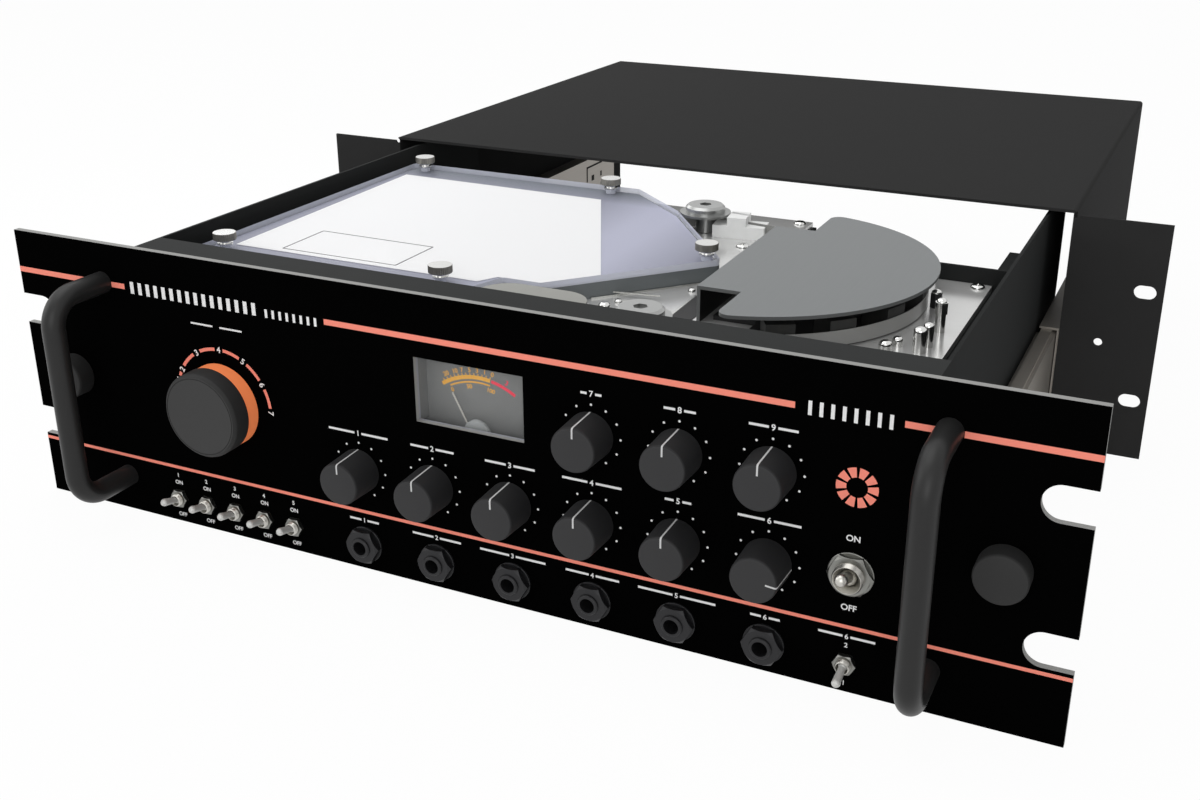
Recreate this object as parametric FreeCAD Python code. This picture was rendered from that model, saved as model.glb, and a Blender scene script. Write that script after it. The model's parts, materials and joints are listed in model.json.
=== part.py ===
"""Rack-mounted tape echo unit: a steel rack sleeve and a drawer that slides out of it.

All sizes are millimetres. Pieces are drawn in the front panel's own frame: X to the right from
the panel's centre, Y back from the panel's front face, Z up from the panel's bottom edge. save()
moves them to the rack frame, whose origin is the centre of the four rack slots on the front of
the sleeve's ears. The drawer is drawn pulled out by drawer_out.
"""
import FreeCAD, Part
import math
import os

V = FreeCAD.Vector
os.makedirs("parts", exist_ok=True)

# ---------------------------------------------------------------- driving sizes
# Rack standard, three units high
rack_width = 482.6
panel_height = 132.5
panel_thickness = 3.0
rack_hole_margin = 17.5   # rack width less the distance between its slots
rack_hole_pitch_z = 57.15
rack_slot_length = 10.5
rack_slot_width = 7.0

# General clearances
running_gap = 0.05        # radial, shaft in bearing
sliding_gap = 0.1         # slide members
seat_gap = 0.1            # piece dropped into a hole or cut-out
joint_gap = 0.3           # moving piece over a fixed one

# Sleeve
sheet = 1.5
sleeve_width = 393.0
sleeve_depth = 311.7
sleeve_drop = 0.6         # panel's top edge to the sleeve's top
sleeve_base = 5.7
sleeve_lip = 32.5         # width of the turned-in bottom edge
sleeve_bend = 2.0
ear_base = 7.2
ear_top_drop = 3.0
lock_offset = 17.5        # sleeve's side to the captive thumb screw
lock_hole_r = 2.1
relief_r = 1.5

# Drawer
drawer_width = 366.6
drawer_floor = 8.7
wall_drop = 4.5           # panel's top edge to the drawer wall's top
front_flange = 27.5
flange_turn_down = 8.0
front_lip = 12.0
floor_setback = 34.0      # the floor starts behind the jacks and switches
rear_wall_height = 66.0
ledge_width = 14.0
cross_wall_x = 66.0       # left end of the cross wall
cross_wall_y = 173.0
cross_wall_drop = 8.5     # drawer wall's top to the cross wall's top
cross_wall_pass = 146.0   # right end of its low part, where the tape crosses

# Telescopic slides
slide_length = 250.0
slide_overlap = 6.0       # inner and outer member, when the drawer is out
slide_height = 45.0
slide_middle = 47.5       # height of the slides' centre line
slide_sheet = 1.2
slide_race = 1.6          # room for the balls between two members
slide_setback = 1.5
slide_tail = 45.5         # outer member's run behind the slide's own length

# Panel grips
grip_x = 190.6
grip_r = 5.0
grip_pitch = 96.0
grip_reach = 31.0
grip_bend = 13.0
grip_screw_r = 2.5
grip_screw_head_r = 4.0
grip_screw_head = 3.0

# Clearance notches for the rack screws
notch_half = 7.15
notch_depth = 18.3

# Rows and columns of controls
column_pitch = 36.84
column_first = -56.4
row_low = 48.5
row_high = 86.4
jack_row = 12.5
toggle_row = 12.5
toggle_pitch = 16.5
toggle_first = -160.5
mode_x = -127.75
level_x = 160.0
power_z = 51.0

# Rotary controls
knob_r = 9.85
knob_front_r = 9.35
knob_height = 16.0
knob_gap = 0.6
knob_wall = 2.2
shaft_r = 3.0
bushing_r = 4.0
bushing_length = 5.0
nut_thickness = 2.2
nut_size = 11.0
pot_r = 8.0
pot_depth = 9.0
mode_skirt_r = 19.2
mode_skirt_height = 6.8
mode_cap_r = 19.5
mode_height = 16.0
mode_bevel = 1.6
mode_switch_r = 15.0
mode_switch_depth = 18.0

# Lever switches
lever_tilt = 15.0
lever_neck = 0.65         # neck's radius as a share of the ball's
mouth_wall = 0.5          # bushing's wall at its mouth
mini_ball_r = 1.9
mini_bushing_r = 3.0
mini_bushing_length = 4.4
mini_nut = 8.0
mini_lever = 11.0
mini_tip_r = 1.75
mini_body = (8.0, 9.0, 9.6)
power_ball_r = 3.2
power_bushing_r = 5.9
power_bushing_length = 6.0
power_nut = 15.5
power_washer_r = 8.85
power_washer = 0.8
power_lever = 14.5
power_tilt = 22.0         # the mini levers tilt by lever_tilt
power_tip_r = 2.5
power_body = (16.0, 20.0, 26.0)

# Jacks
jack_bore_r = 3.2
jack_bush_r = 4.6
jack_nut = 14.7
jack_nut_thickness = 3.2
jack_washer_r = 8.4
jack_washer = 1.0
jack_body = 14.4
jack_depth = 24.0

# Meter
meter_x = -1.0
meter_drop = 20.85        # deck's top down to the window's centre
meter_width = 50.5
meter_height = 28.5
meter_rim = 3.2
meter_head = 7.0          # housing above the window
meter_foot = 15.0         # housing below the window, round the needle's pivot
meter_depth = 16.0
meter_wall = 1.2
meter_face_y = 8.0
meter_glass = 1.2
needle_length = 25.9
needle_width = 0.5
needle_hub_r = 2.0
needle_drop = 24.65       # window's centre down to the needle's pivot
needle_angle = 27.2

# Captive thumb screws
lock_knob_r = 9.85
lock_knob_height = 8.8
lock_shaft_r = 2.0
lock_reach = 8.0
lock_bevel = 1.0

# Transport deck
deck_drop = 16.0          # drawer wall's top down to the deck
deck_sheet = 3.0
deck_width = 343.6
deck_front = 20.5
deck_rear = 240.0
deck_screw_r = 3.3
deck_screw_head = 1.6
deck_screw_inset = 5.5
deck_screw_left = 18.0    # one more screw, left of the cross wall's corner
deck_screw_behind = 9.1   # and behind it

# Tape and its path, seen from above
tape_width = 6.35
tape_thickness = 0.3
tape_lift = 0.6
head_arc_x = 75.4
head_arc_y = 121.0
head_arc_r = 77.0
head_inset = 0.3
head_size = (12.0, 13.0, 9.0)
head_base_sheet = 2.0
head_base_inner = 50.0
head_base_margin = 5.5
head_shield = 0.7         # height of a head's rear shield as a share of the head's

# Head cover
cover_overhang = 4.3      # cover's round edge outside the tape's arc
cover_chord_x = 88.0
cover_tongue_x = 68.5
cover_tongue_half = 50.0
cover_corner_r = 5.0
cover_lap = 1.0           # tongue's overlap with the disc
cover_sheet = 1.5
cover_post_ring = 55.5    # posts round the arc's centre
cover_post_angle = 57.0

# Tape tank
tank_rise = 7.3
tank_wall = 5.0
tank_lid = 3.0
tank_front = 36.0
tank_rear = 228.0
tank_boss_r = 4.5
tank_corner_r = 3.0
tank_turn_r = 16.0
tank_turn_left = -135.0
tank_turn_right = -40.0
tank_turn_y = 127.0       # middle turn
tank_turn_step = 30.0     # from it to the front and the rear turn
lid_tip = (57.5, 127.0)
lid_bend = (33.8, 159.5)
lid_notch = (7.7, 195.4)
lid_rear_x = -28.7
bay_left = -24.0          # bay in the lid round the capstan cover
bay_bend = 46.0
bay_corner = (-18.9, 61.5)
bay_right = (0.0, 61.5)
tank_screw_side = 9.8     # tank's left side to its thumb screws
tank_screw_middle = -43.5
tank_screw_front = 14.0
tank_screw_rear = 5.0
tank_screw_tip = (8.5, 4.0)  # to the left of the lid's tip, and behind it
tank_screw_head_r = 5.4
tank_screw_head = 3.6
tank_screw_neck_r = 2.6
tank_screw_neck = 2.2
tank_collar_r = 3.6
tank_collar = 0.8
tank_slot = 4.0

# Splice sensor on the rear run of the tape
sensor_left = 27.6
sensor_width = 26.5
sensor_front = 192.7
sensor_turn = 8.0         # turned about its front left corner
sensor_depth = 13.0
sensor_low = 6.2
sensor_high = 10.5
sensor_cheek_left = 7.5
sensor_cheek_right = 9.4
sensor_slot = 3.0

# Guides, capstan and pinch roller
guide_post_r = 2.6
guide_rear_angle = 124.5  # round the head arc's centre
guide_rear_out = 19.8     # outside the head arc
guide_front_angle = -103.9
guide_front_out = 4.5
guide_roller_r = 5.0
guide_flange_r = 13.0
guide_cap_r = 10.0
guide_axle_r = 2.5
guide_height = 14.2
guide_lift = -1.0         # lid's top to the flange, which sits lower
guide_flange = 1.2
guide_bevel = 1.2
guide_socket_r = 3.2
guide_socket = 1.6
guide_cap_wall = 0.8      # under the socket
post_round = 0.7          # rounding of a post's top as a share of its radius
eye_post = (163.8, 102.4, 2.1, 14.5)   # each post's X, Y, radius and height
tall_post = (161.7, 75.8, 2.7, 10.5)
rear_post = (163.3, 83.4, 2.2, 10.0)
short_post = (149.2, 71.4, 2.7, 4.5)
low_post = (152.2, 79.0, 2.2, 4.0)
front_stud = (25.7, 71.0, 2.7, 2.5)
bay_stud = (28.3, 79.7, 1.8, 1.5)
wall_stud = (51.5, 107.6, 1.8, 1.5)
post_eye_r = 2.6          # ring on the eye post
post_eye = 5.0
capstan_x = 4.0
capstan_y = 45.2
capstan_r = 2.5
pinch_r = 7.0
pinch_pin_r = 1.5
pinch_pivot_x = 24.0
pinch_pivot_y = 27.0
pinch_arm_sheet = 0.9
pinch_arm_half = 4.0
pinch_hub_wall = 1.0
flywheel_r = 24.0
flywheel_thickness = 7.0
flywheel_drop = 5.0       # deck's underside to the flywheel
flywheel_groove_r = 2.0
flywheel_groove_out = 1.0
capstan_tail = 4.0        # shaft below the flywheel
capstan_cover_left = -20.0
capstan_cover_right = 30.0
capstan_cover_front = 8.0
capstan_cover_rear = 56.3
capstan_cover_corner_r = 14.0
capstan_cover_post_r = 2.5
capstan_post_left = 6.0   # cover's left edge to its first post
capstan_post_right = 8.0
capstan_post_front = 8.0  # first post in front of the capstan
capstan_post_rear = 6.0   # second post behind it
capstan_cover_rise = 10.5
capstan_cover_sheet = 1.6
motor_x = -58.0
motor_y = 96.0
motor_r = 17.0
motor_height = 32.0
motor_shaft_r = 1.6
motor_foot_r = 2.5
motor_foot_ring = 13.0
motor_pulley_r = 6.0
pulley_rim = 1.0          # beyond the belt on each side
belt_thickness = 1.2
belt_width = 4.0
belt_gap = 0.1

# Electronics inside the drawer
board_sheet = 1.6
board_spacer = 6.0
board_spacer_r = 3.0
board_spacer_inset = 8.0
board_left = -150.0
board_right = 110.0
board_front = 50.0
board_rear = 160.0
capacitor_r = 8.0
capacitor_height = 25.0
capacitor_pitch = 22.0
capacitor_inset = (30.0, 25.0)
cooler_size = (40.0, 4.0, 30.0)
cooler_pitch = 28.0
cooler_inset = 20.0
chip_size = (20.0, 8.0, 4.0)
chip_pitch = 35.0
chip_inset = (25.0, 20.0)
reverb_size = (235.0, 44.0, 33.0)
reverb_side = 18.0        # drawer's left wall to the pan
reverb_behind = 15.0      # deck's rear edge to the pan
spring_r = 2.0
spring_count = 3
transformer_r = 36.0
transformer_height = 38.0
transformer_x = 125.0
transformer_y = 236.0
transformer_bolt_r = 3.0
transformer_bolt_rise = 5.0
inlet_x = 146.0
inlet_z = 40.0
inlet_socket = (24.4, 16.4)
inlet_flange = (50.0, 22.0)
inlet_flange_sheet = 1.5
inlet_wall = 1.2
inlet_depth = 24.0
inlet_end = 3.0           # socket's end wall
pin_pitch = 7.0
pin_offset = 1.5          # outer pins below the middle, inner pin above it
pin_size = (2.0, 4.0)
pin_root = 1.0
pin_setback = 8.0

# ---------------------------------------------------------------- derived levels
panel_back = panel_thickness
half_panel = rack_width / 2
rack_hole_pitch_x = rack_width - rack_hole_margin
drawer_out = slide_length - slide_overlap
mid_height = panel_height / 2
ear_y = panel_back + drawer_out
sleeve_half = sleeve_width / 2
sleeve_inner = sleeve_half - sheet
lock_x = sleeve_half + lock_offset
sleeve_top = panel_height - sleeve_drop
drawer_half = drawer_width / 2
drawer_inner = drawer_half - sheet
wall_top = panel_height - wall_drop
drawer_rear = panel_back + sleeve_depth
deck_top = wall_top - deck_drop
deck_base = deck_top - deck_sheet
deck_half = deck_width / 2
meter_z = deck_top - meter_drop
tape_low = deck_top + tape_lift
tape_high = tape_low + tape_width
lid_low = deck_top + tank_rise
lid_top = lid_low + tank_lid
cover_top = wall_top
cover_r = head_arc_r + cover_overhang
columns = [column_first + column_pitch * i for i in range(6)]
toggle_columns = [toggle_first + toggle_pitch * i for i in range(5)]


# ---------------------------------------------------------------- shape helpers
def box(x0, x1, y0, y1, z0, z1):
    """Block between two corners."""
    return Part.makeBox(x1 - x0, y1 - y0, z1 - z0, V(x0, y0, z0))


def rod_y(x, z, r, y0, y1):
    """Cylinder along Y."""
    return Part.makeCylinder(r, y1 - y0, V(x, y0, z), V(0, 1, 0))


def rod_z(x, y, r, z0, z1):
    """Cylinder along Z."""
    return Part.makeCylinder(r, z1 - z0, V(x, y, z0), V(0, 0, 1))


def cone_y(x, z, r0, r1, y0, y1):
    """Cone along Y, radius r0 at y0 and r1 at y1."""
    return Part.makeCone(r0, r1, y1 - y0, V(x, y0, z), V(0, 1, 0))


def hex_y(x, z, across, y0, y1):
    """Hexagon nut blank along Y, with a flat at the top."""
    corner = across / 2 / math.cos(math.radians(30))
    ring = [V(x + corner * math.cos(math.radians(60 * i)), y0,
              z + corner * math.sin(math.radians(60 * i))) for i in range(7)]
    return Part.Face(Part.makePolygon(ring)).extrude(V(0, y1 - y0, 0))


def plate(points, z0, z1):
    """Flat plate with straight edges, from its outline seen from above."""
    ring = [V(x, y, z0) for x, y in points]
    return Part.Face(Part.makePolygon(ring + ring[:1])).extrude(V(0, 0, z1 - z0))


def fuse(*solids):
    """One solid from pieces that touch or overlap."""
    return solids[0].multiFuse(list(solids[1:])).removeSplitter()


def both_sides(shape):
    """The shape and its mirror image across the middle of the unit."""
    return [shape, shape.mirror(V(0, 0, 0), V(1, 0, 0))]


def save(name, *solids):
    """Write one node in the rack frame."""
    shift = V(0, -ear_y, -mid_height)
    moved = [s.translated(shift) for s in solids]
    shape = moved[0] if len(moved) == 1 else Part.makeCompound(moved)
    shape.exportStep("parts/" + name + ".step")


def tangent_run(first, second):
    """Ends of the straight run between two circles (x, y, r, turn); turn is 1 for left, -1 right."""
    x0, y0, r0, s0 = first
    x1, y1, r1, s1 = second
    step = s0 * r0 - s1 * r1
    span = math.hypot(x1 - x0, y1 - y0)
    heading = math.atan2(y1 - y0, x1 - x0) + math.asin(step / span)
    side_x, side_y = math.sin(heading), -math.cos(heading)
    start = (x0 + s0 * r0 * side_x, y0 + s0 * r0 * side_y)
    end = (x1 + s1 * r1 * side_x, y1 + s1 * r1 * side_y)
    return start, end


def loop_wire(circles, left, z):
    """Closed wire round circles in order, moved to its left by the given amount."""
    shifted = [(x, y, r - s * left, s) for x, y, r, s in circles]
    count = len(shifted)
    runs = [tangent_run(shifted[i], shifted[(i + 1) % count]) for i in range(count)]
    edges = []
    for i, (start, end) in enumerate(runs):
        edges.append(Part.LineSegment(V(*start, z), V(*end, z)).toShape())
        x, y, r, turn = shifted[(i + 1) % count]
        leave = runs[(i + 1) % count][0]
        a0 = math.atan2(end[1] - y, end[0] - x)
        a1 = math.atan2(leave[1] - y, leave[0] - x)
        sweep = (a1 - a0) * turn % (2 * math.pi)
        middle = a0 + turn * sweep / 2
        top = V(x + r * math.cos(middle), y + r * math.sin(middle), z)
        edges.append(Part.Arc(V(*end, z), top, V(*leave, z)).toShape())
    return Part.Wire(Part.__sortEdges__(edges))


def ribbon(circles, thickness, z0, z1):
    """Closed band of the given thickness round circles that give its centre line."""
    sides = [Part.Face(loop_wire(circles, d * thickness / 2, z0)) for d in (-1, 1)]
    inner, outer = sorted(sides, key=lambda face: face.Area)
    return outer.extrude(V(0, 0, z1 - z0)).cut(inner.extrude(V(0, 0, z1 - z0)))


# ---------------------------------------------------------------- sleeve and slides
def rack_sleeve():
    """Folded steel sleeve, open at both ends, with a rack ear on each side."""
    back = ear_y + sleeve_depth
    ear_top = panel_height - ear_top_drop
    pieces = [box(-sleeve_half, sleeve_half, ear_y, back, sleeve_top - sheet, sleeve_top)]
    side = fuse(box(sleeve_inner, sleeve_half, ear_y, back, sleeve_base, sleeve_top),
                box(sleeve_half - sleeve_lip, sleeve_half, ear_y, back, sleeve_base, sleeve_base + sheet),
                box(sleeve_inner, half_panel, ear_y, ear_y + sheet, ear_base, ear_top))
    shell = fuse(*(pieces + both_sides(side)))
    shell = shell.makeFillet(sleeve_bend, [e for e in shell.Edges if long_bend(e)])
    for sign in (-1, 1):
        shell = shell.cut(rod_y(sign * sleeve_half, ear_top, relief_r, ear_y, ear_y + 2 * sheet))
        for row in (-1, 1):
            x = sign * rack_hole_pitch_x / 2
            z = mid_height + row * rack_hole_pitch_z / 2
            shell = shell.cut(slot_y(x, z, rack_slot_length, rack_slot_width / 2, ear_y, ear_y + sheet))
        shell = shell.cut(rod_y(sign * lock_x, mid_height, lock_hole_r, ear_y, ear_y + sheet))
    return shell


def long_bend(edge):
    """True for the two outer top edges that run the sleeve's whole depth."""
    ends = [v.Point for v in edge.Vertexes]
    depth = edge.BoundBox.YLength
    on_top = all(abs(p.z - sleeve_top) < 0.01 and abs(abs(p.x) - sleeve_half) < 0.01 for p in ends)
    return len(ends) == 2 and on_top and abs(depth - sleeve_depth) < 0.01


def slot_y(x, z, length, r, y0, y1):
    """Round-ended slot through a sheet, its length along X."""
    reach = length / 2 - r
    return fuse(rod_y(x - reach, z, r, y0, y1), rod_y(x + reach, z, r, y0, y1),
                box(x - reach, x + reach, y0, y1, z - r, z + r))


def channel(x_web, x_lips, half, y0, y1):
    """C channel along Y with its web at x_web and its lips reaching to x_lips."""
    turn = 1 if x_lips > x_web else -1
    web_x = sorted((x_web, x_web + turn * slide_sheet))
    lip_x = sorted((x_web, x_lips))
    low, high = slide_middle - half, slide_middle + half
    return fuse(box(*web_x, y0, y1, low, high),
                box(*lip_x, y0, y1, high - slide_sheet, high),
                box(*lip_x, y0, y1, low, low + slide_sheet))


def slide_members():
    """Outer, middle and inner members of the right-hand slide."""
    outer_half = slide_height / 2
    middle_half = outer_half - slide_sheet - slide_race
    inner_half = middle_half - slide_sheet - slide_race
    outer_y = ear_y + slide_setback
    middle_y = outer_y - drawer_out / 2
    inner_y = outer_y - drawer_out
    web_gap = slide_race / 3
    middle_web = sleeve_inner - slide_sheet - web_gap
    lips = drawer_half + slide_sheet + web_gap
    outer_end = outer_y + slide_length + slide_tail
    outer = channel(sleeve_inner, lips, outer_half, outer_y, outer_end)
    middle = channel(middle_web, lips + web_gap, middle_half, middle_y, middle_y + slide_length)
    inner_lip = middle_web - slide_sheet - web_gap
    inner = channel(drawer_half, inner_lip, inner_half, inner_y, inner_y + slide_length)
    race_x = (lips + 2 * web_gap, middle_web - slide_sheet - web_gap)
    thick = slide_race - sliding_gap
    races = []
    for low in (slide_middle + middle_half, slide_middle + middle_half - slide_sheet - thick,
                slide_middle - middle_half - thick, slide_middle - middle_half + slide_sheet):
        races.append(box(*race_x, middle_y, middle_y + slide_length, low, low + thick))
    return outer, fuse(middle, *races), inner


# ---------------------------------------------------------------- drawer body
def front_panel():
    """Three-unit rack panel with its notches and every control's hole."""
    panel = box(-half_panel, half_panel, 0, panel_back, 0, panel_height)
    holes = []
    for sign in (-1, 1):
        for row in (-1, 1):
            z = mid_height + row * rack_hole_pitch_z / 2
            inner = half_panel - notch_depth + notch_half
            reach = sorted((sign * inner, sign * (half_panel + 1)))
            holes.append(box(*reach, 0, panel_back, z - notch_half, z + notch_half))
            holes.append(rod_y(sign * inner, z, notch_half, 0, panel_back))
            grip_z = mid_height + row * grip_pitch / 2
            holes.append(rod_y(sign * grip_x, grip_z, grip_screw_r + seat_gap, 0, panel_back))
        holes.append(rod_y(sign * lock_x, mid_height, lock_shaft_r + seat_gap, 0, panel_back))
    for x, z in knob_places():
        holes.append(rod_y(x, z, bushing_r + seat_gap, 0, panel_back))
    holes.append(rod_y(mode_x, mid_height, bushing_r + seat_gap, 0, panel_back))
    for x in columns:
        holes.append(rod_y(x, jack_row, jack_bush_r + seat_gap, 0, panel_back))
    for x in toggle_columns + [level_x]:
        holes.append(rod_y(x, toggle_row, mini_bushing_r + seat_gap, 0, panel_back))
    holes.append(rod_y(level_x, power_z, power_bushing_r + seat_gap, 0, panel_back))
    holes.append(box(meter_x - meter_width / 2, meter_x + meter_width / 2, 0, panel_back,
                     meter_z - meter_height / 2, meter_z + meter_height / 2))
    return panel.cut(holes[0].multiFuse(holes[1:]))


def knob_places():
    """Centres of the nine small knobs: a full lower row, and three above its right half."""
    return [(x, row_low) for x in columns] + [(x, row_high) for x in columns[3:]]


def drawer_tray():
    """Folded tray: floor, side and rear walls, front flange, deck ledges and the cross wall."""
    floor = box(-drawer_half, drawer_half, floor_setback, drawer_rear, drawer_floor, drawer_floor + sheet)
    ledge_top = deck_base
    ledge_in = drawer_inner - ledge_width
    side = fuse(box(drawer_inner, drawer_half, panel_back, drawer_rear, drawer_floor, wall_top),
                box(drawer_half - front_lip, drawer_half, panel_back, panel_back + sheet,
                    drawer_floor, wall_top),
                box(ledge_in, drawer_half, panel_back + sheet, deck_rear, ledge_top - sheet, ledge_top))
    flange_back = panel_back + front_flange
    flange = fuse(box(-drawer_half, drawer_half, panel_back, flange_back, wall_top - sheet, wall_top),
                  box(-drawer_half, drawer_half, panel_back, panel_back + sheet,
                      wall_top - flange_turn_down, wall_top))
    rear = box(-drawer_half, drawer_half, drawer_rear - sheet, drawer_rear,
               drawer_floor, drawer_floor + rear_wall_height)
    cross = fuse(box(cross_wall_x, drawer_half, cross_wall_y, cross_wall_y + sheet, drawer_floor, deck_top),
                 box(cross_wall_pass, drawer_half, cross_wall_y, cross_wall_y + sheet,
                     drawer_floor, wall_top - cross_wall_drop),
                 box(cross_wall_x, cross_wall_x + sheet, cross_wall_y, deck_rear + sheet,
                     drawer_floor, deck_base),
                 box(-drawer_half, cross_wall_x + sheet, deck_rear, deck_rear + sheet,
                     drawer_floor, deck_base),
                 box(-drawer_half, cross_wall_x, deck_rear - ledge_width, deck_rear + sheet,
                     ledge_top - sheet, ledge_top))
    tray = fuse(floor, *both_sides(side), flange, rear, cross)
    half_w, half_h = inlet_half()
    return tray.cut(box(inlet_x - half_w - seat_gap, inlet_x + half_w + seat_gap,
                        drawer_rear - sheet, drawer_rear,
                        inlet_z - half_h - seat_gap, inlet_z + half_h + seat_gap))


def grip(x):
    """Round bar grip with its two screws behind the panel."""
    low, high = mid_height - grip_pitch / 2, mid_height + grip_pitch / 2
    out = -grip_reach
    k = grip_bend * (1 - math.sqrt(0.5))
    path = Part.Wire([
        Part.LineSegment(V(x, 0, low), V(x, out + grip_bend, low)).toShape(),
        Part.Arc(V(x, out + grip_bend, low), V(x, out + k, low + k), V(x, out, low + grip_bend)).toShape(),
        Part.LineSegment(V(x, out, low + grip_bend), V(x, out, high - grip_bend)).toShape(),
        Part.Arc(V(x, out, high - grip_bend), V(x, out + k, high - k),
                 V(x, out + grip_bend, high)).toShape(),
        Part.LineSegment(V(x, out + grip_bend, high), V(x, 0, high)).toShape()])
    ring = Part.Wire(Part.makeCircle(grip_r, V(x, 0, low), V(0, -1, 0)))
    bar = path.makePipeShell([ring], True, False)
    screws = []
    for z in (low, high):
        bar = bar.cut(rod_y(x, z, grip_screw_r, -2 * grip_r, 0))
        screws.append(fuse(rod_y(x, z, grip_screw_r, -2 * grip_r, panel_back),
                           rod_y(x, z, grip_screw_head_r, panel_back, panel_back + grip_screw_head)))
    return [bar] + screws


# ---------------------------------------------------------------- panel controls
def round_knob(x, z):
    """Tapered control knob, hollow underneath, with the shaft that it grips."""
    front = -knob_gap - knob_height
    body = cone_y(x, z, knob_front_r, knob_r, front, -knob_gap)
    body = body.cut(rod_y(x, z, knob_r - knob_wall, -bushing_length - knob_wall, -knob_gap))
    shaft_front = front + knob_wall
    body = body.cut(rod_y(x, z, shaft_r, shaft_front, 0))
    return [body, rod_y(x, z, shaft_r, shaft_front, panel_back + pot_depth / 2)]


def mode_knob():
    """Large selector knob: a skirt and a bevelled cap on one shaft."""
    front = -knob_gap - mode_height
    step = -knob_gap - mode_skirt_height
    skirt = rod_y(mode_x, mid_height, mode_skirt_r, step, -knob_gap)
    cap = fuse(cone_y(mode_x, mid_height, mode_cap_r - mode_bevel, mode_cap_r, front, front + mode_bevel),
               rod_y(mode_x, mid_height, mode_cap_r, front + mode_bevel, step))
    hollow = rod_y(mode_x, mid_height, knob_r, -bushing_length - knob_wall, -knob_gap)
    shaft_front = front + 2 * knob_wall
    body = fuse(skirt, cap).cut(hollow).cut(rod_y(mode_x, mid_height, shaft_r, shaft_front, 0))
    return [body, rod_y(mode_x, mid_height, shaft_r, shaft_front, panel_back + mode_switch_depth / 2)]


def bushed(x, z, body, length):
    """A control's body behind the panel, its bushing and nut, bored for the shaft."""
    bush = rod_y(x, z, bushing_r, -length, panel_back)
    bore = rod_y(x, z, shaft_r + running_gap, -length, panel_back + body.BoundBox.YLength / 2 + joint_gap)
    nut = hex_y(x, z, nut_size, -nut_thickness, 0).cut(rod_y(x, z, bushing_r, -nut_thickness, 0))
    return [fuse(body, bush).cut(bore), nut]


def control_pots():
    """Potentiometers behind the nine knobs."""
    pieces = []
    for x, z in knob_places():
        can = rod_y(x, z, pot_r, panel_back, panel_back + pot_depth)
        pieces += bushed(x, z, can, bushing_length)
    return pieces


def mode_switch():
    """Rotary switch behind the selector knob."""
    can = rod_y(mode_x, mid_height, mode_switch_r, panel_back, panel_back + mode_switch_depth)
    return bushed(mode_x, mid_height, can, bushing_length)


def switch_fixed(x, z, ball_r, bush_r, bush_length, nut, body):
    """Lever switch without its lever: body, bushing with a flared mouth, and nut."""
    width, depth, height = body
    case = box(x - width / 2, x + width / 2, panel_back, panel_back + depth, z - height / 2, z + height / 2)
    bush = rod_y(x, z, bush_r, -bush_length, panel_back)
    pivot = lever_pivot(ball_r, bush_length)
    bore = rod_y(x, z, ball_r + running_gap, -bush_length, pivot + ball_r + joint_gap)
    mouth = cone_y(x, z, bush_r - mouth_wall, ball_r + running_gap, -bush_length, pivot)
    ring = hex_y(x, z, nut, -nut_thickness, 0).cut(rod_y(x, z, bush_r, -nut_thickness, 0))
    return [fuse(case, bush).cut(bore).cut(mouth), ring]


def lever_pivot(ball_r, bush_length):
    """Depth of a lever's ball centre, just inside the mouth of its bushing."""
    return ball_r + joint_gap - bush_length


def lever(x, z, ball_r, bush_length, length, tip_r, tilt):
    """Switch lever on its ball, tilted up, or down where the tilt is negative."""
    pivot = lever_pivot(ball_r, bush_length)
    stem = cone_y(x, z, tip_r, lever_neck * ball_r, -length, pivot)
    tip = Part.makeSphere(tip_r, V(x, -length, z))
    ball = Part.makeSphere(ball_r, V(x, pivot, z))
    shape = fuse(ball, stem, tip)
    shape.rotate(V(x, pivot, z), V(1, 0, 0), -tilt)
    return shape


def mini_switch_fixed(x):
    """Miniature lever switch at the panel's bottom row."""
    return switch_fixed(x, toggle_row, mini_ball_r, mini_bushing_r, mini_bushing_length, mini_nut, mini_body)


def power_switch_fixed():
    """Fixed parts of the power switch, with a round washer behind its nut."""
    body, nut = switch_fixed(level_x, power_z, power_ball_r, power_bushing_r,
                             power_bushing_length, power_nut, power_body)
    washer = rod_y(level_x, power_z, power_washer_r, -power_washer, 0)
    washer = washer.cut(rod_y(level_x, power_z, power_bushing_r, -power_washer, 0))
    return [body, washer, nut.translated(V(0, -power_washer, 0))]


def toggle_switches():
    """Fixed parts of the six miniature switches and of the power switch."""
    pieces = []
    for x in toggle_columns + [level_x]:
        pieces += mini_switch_fixed(x)
    return pieces + power_switch_fixed()


def mini_lever_at(x, up):
    """Lever of one miniature switch."""
    return lever(x, toggle_row, mini_ball_r, mini_bushing_length, mini_lever, mini_tip_r,
                 up * lever_tilt)


def jack_sockets():
    """Six quarter-inch jacks with washer and nut on the panel's front."""
    pieces = []
    front = -jack_washer - jack_nut_thickness
    for x in columns:
        half = jack_body / 2
        case = box(x - half, x + half, panel_back, panel_back + jack_depth, jack_row - half, jack_row + half)
        bush = rod_y(x, jack_row, jack_bush_r, front - jack_washer, panel_back)
        bore = rod_y(x, jack_row, jack_bore_r, front - jack_washer, panel_back + jack_depth - sheet)
        through = rod_y(x, jack_row, jack_bush_r, front, 0)
        washer = rod_y(x, jack_row, jack_washer_r, -jack_washer, 0).cut(through)
        nut = hex_y(x, jack_row, jack_nut, front, -jack_washer).cut(through)
        pieces += [fuse(case, bush).cut(bore), washer, nut]
    return pieces


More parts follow.
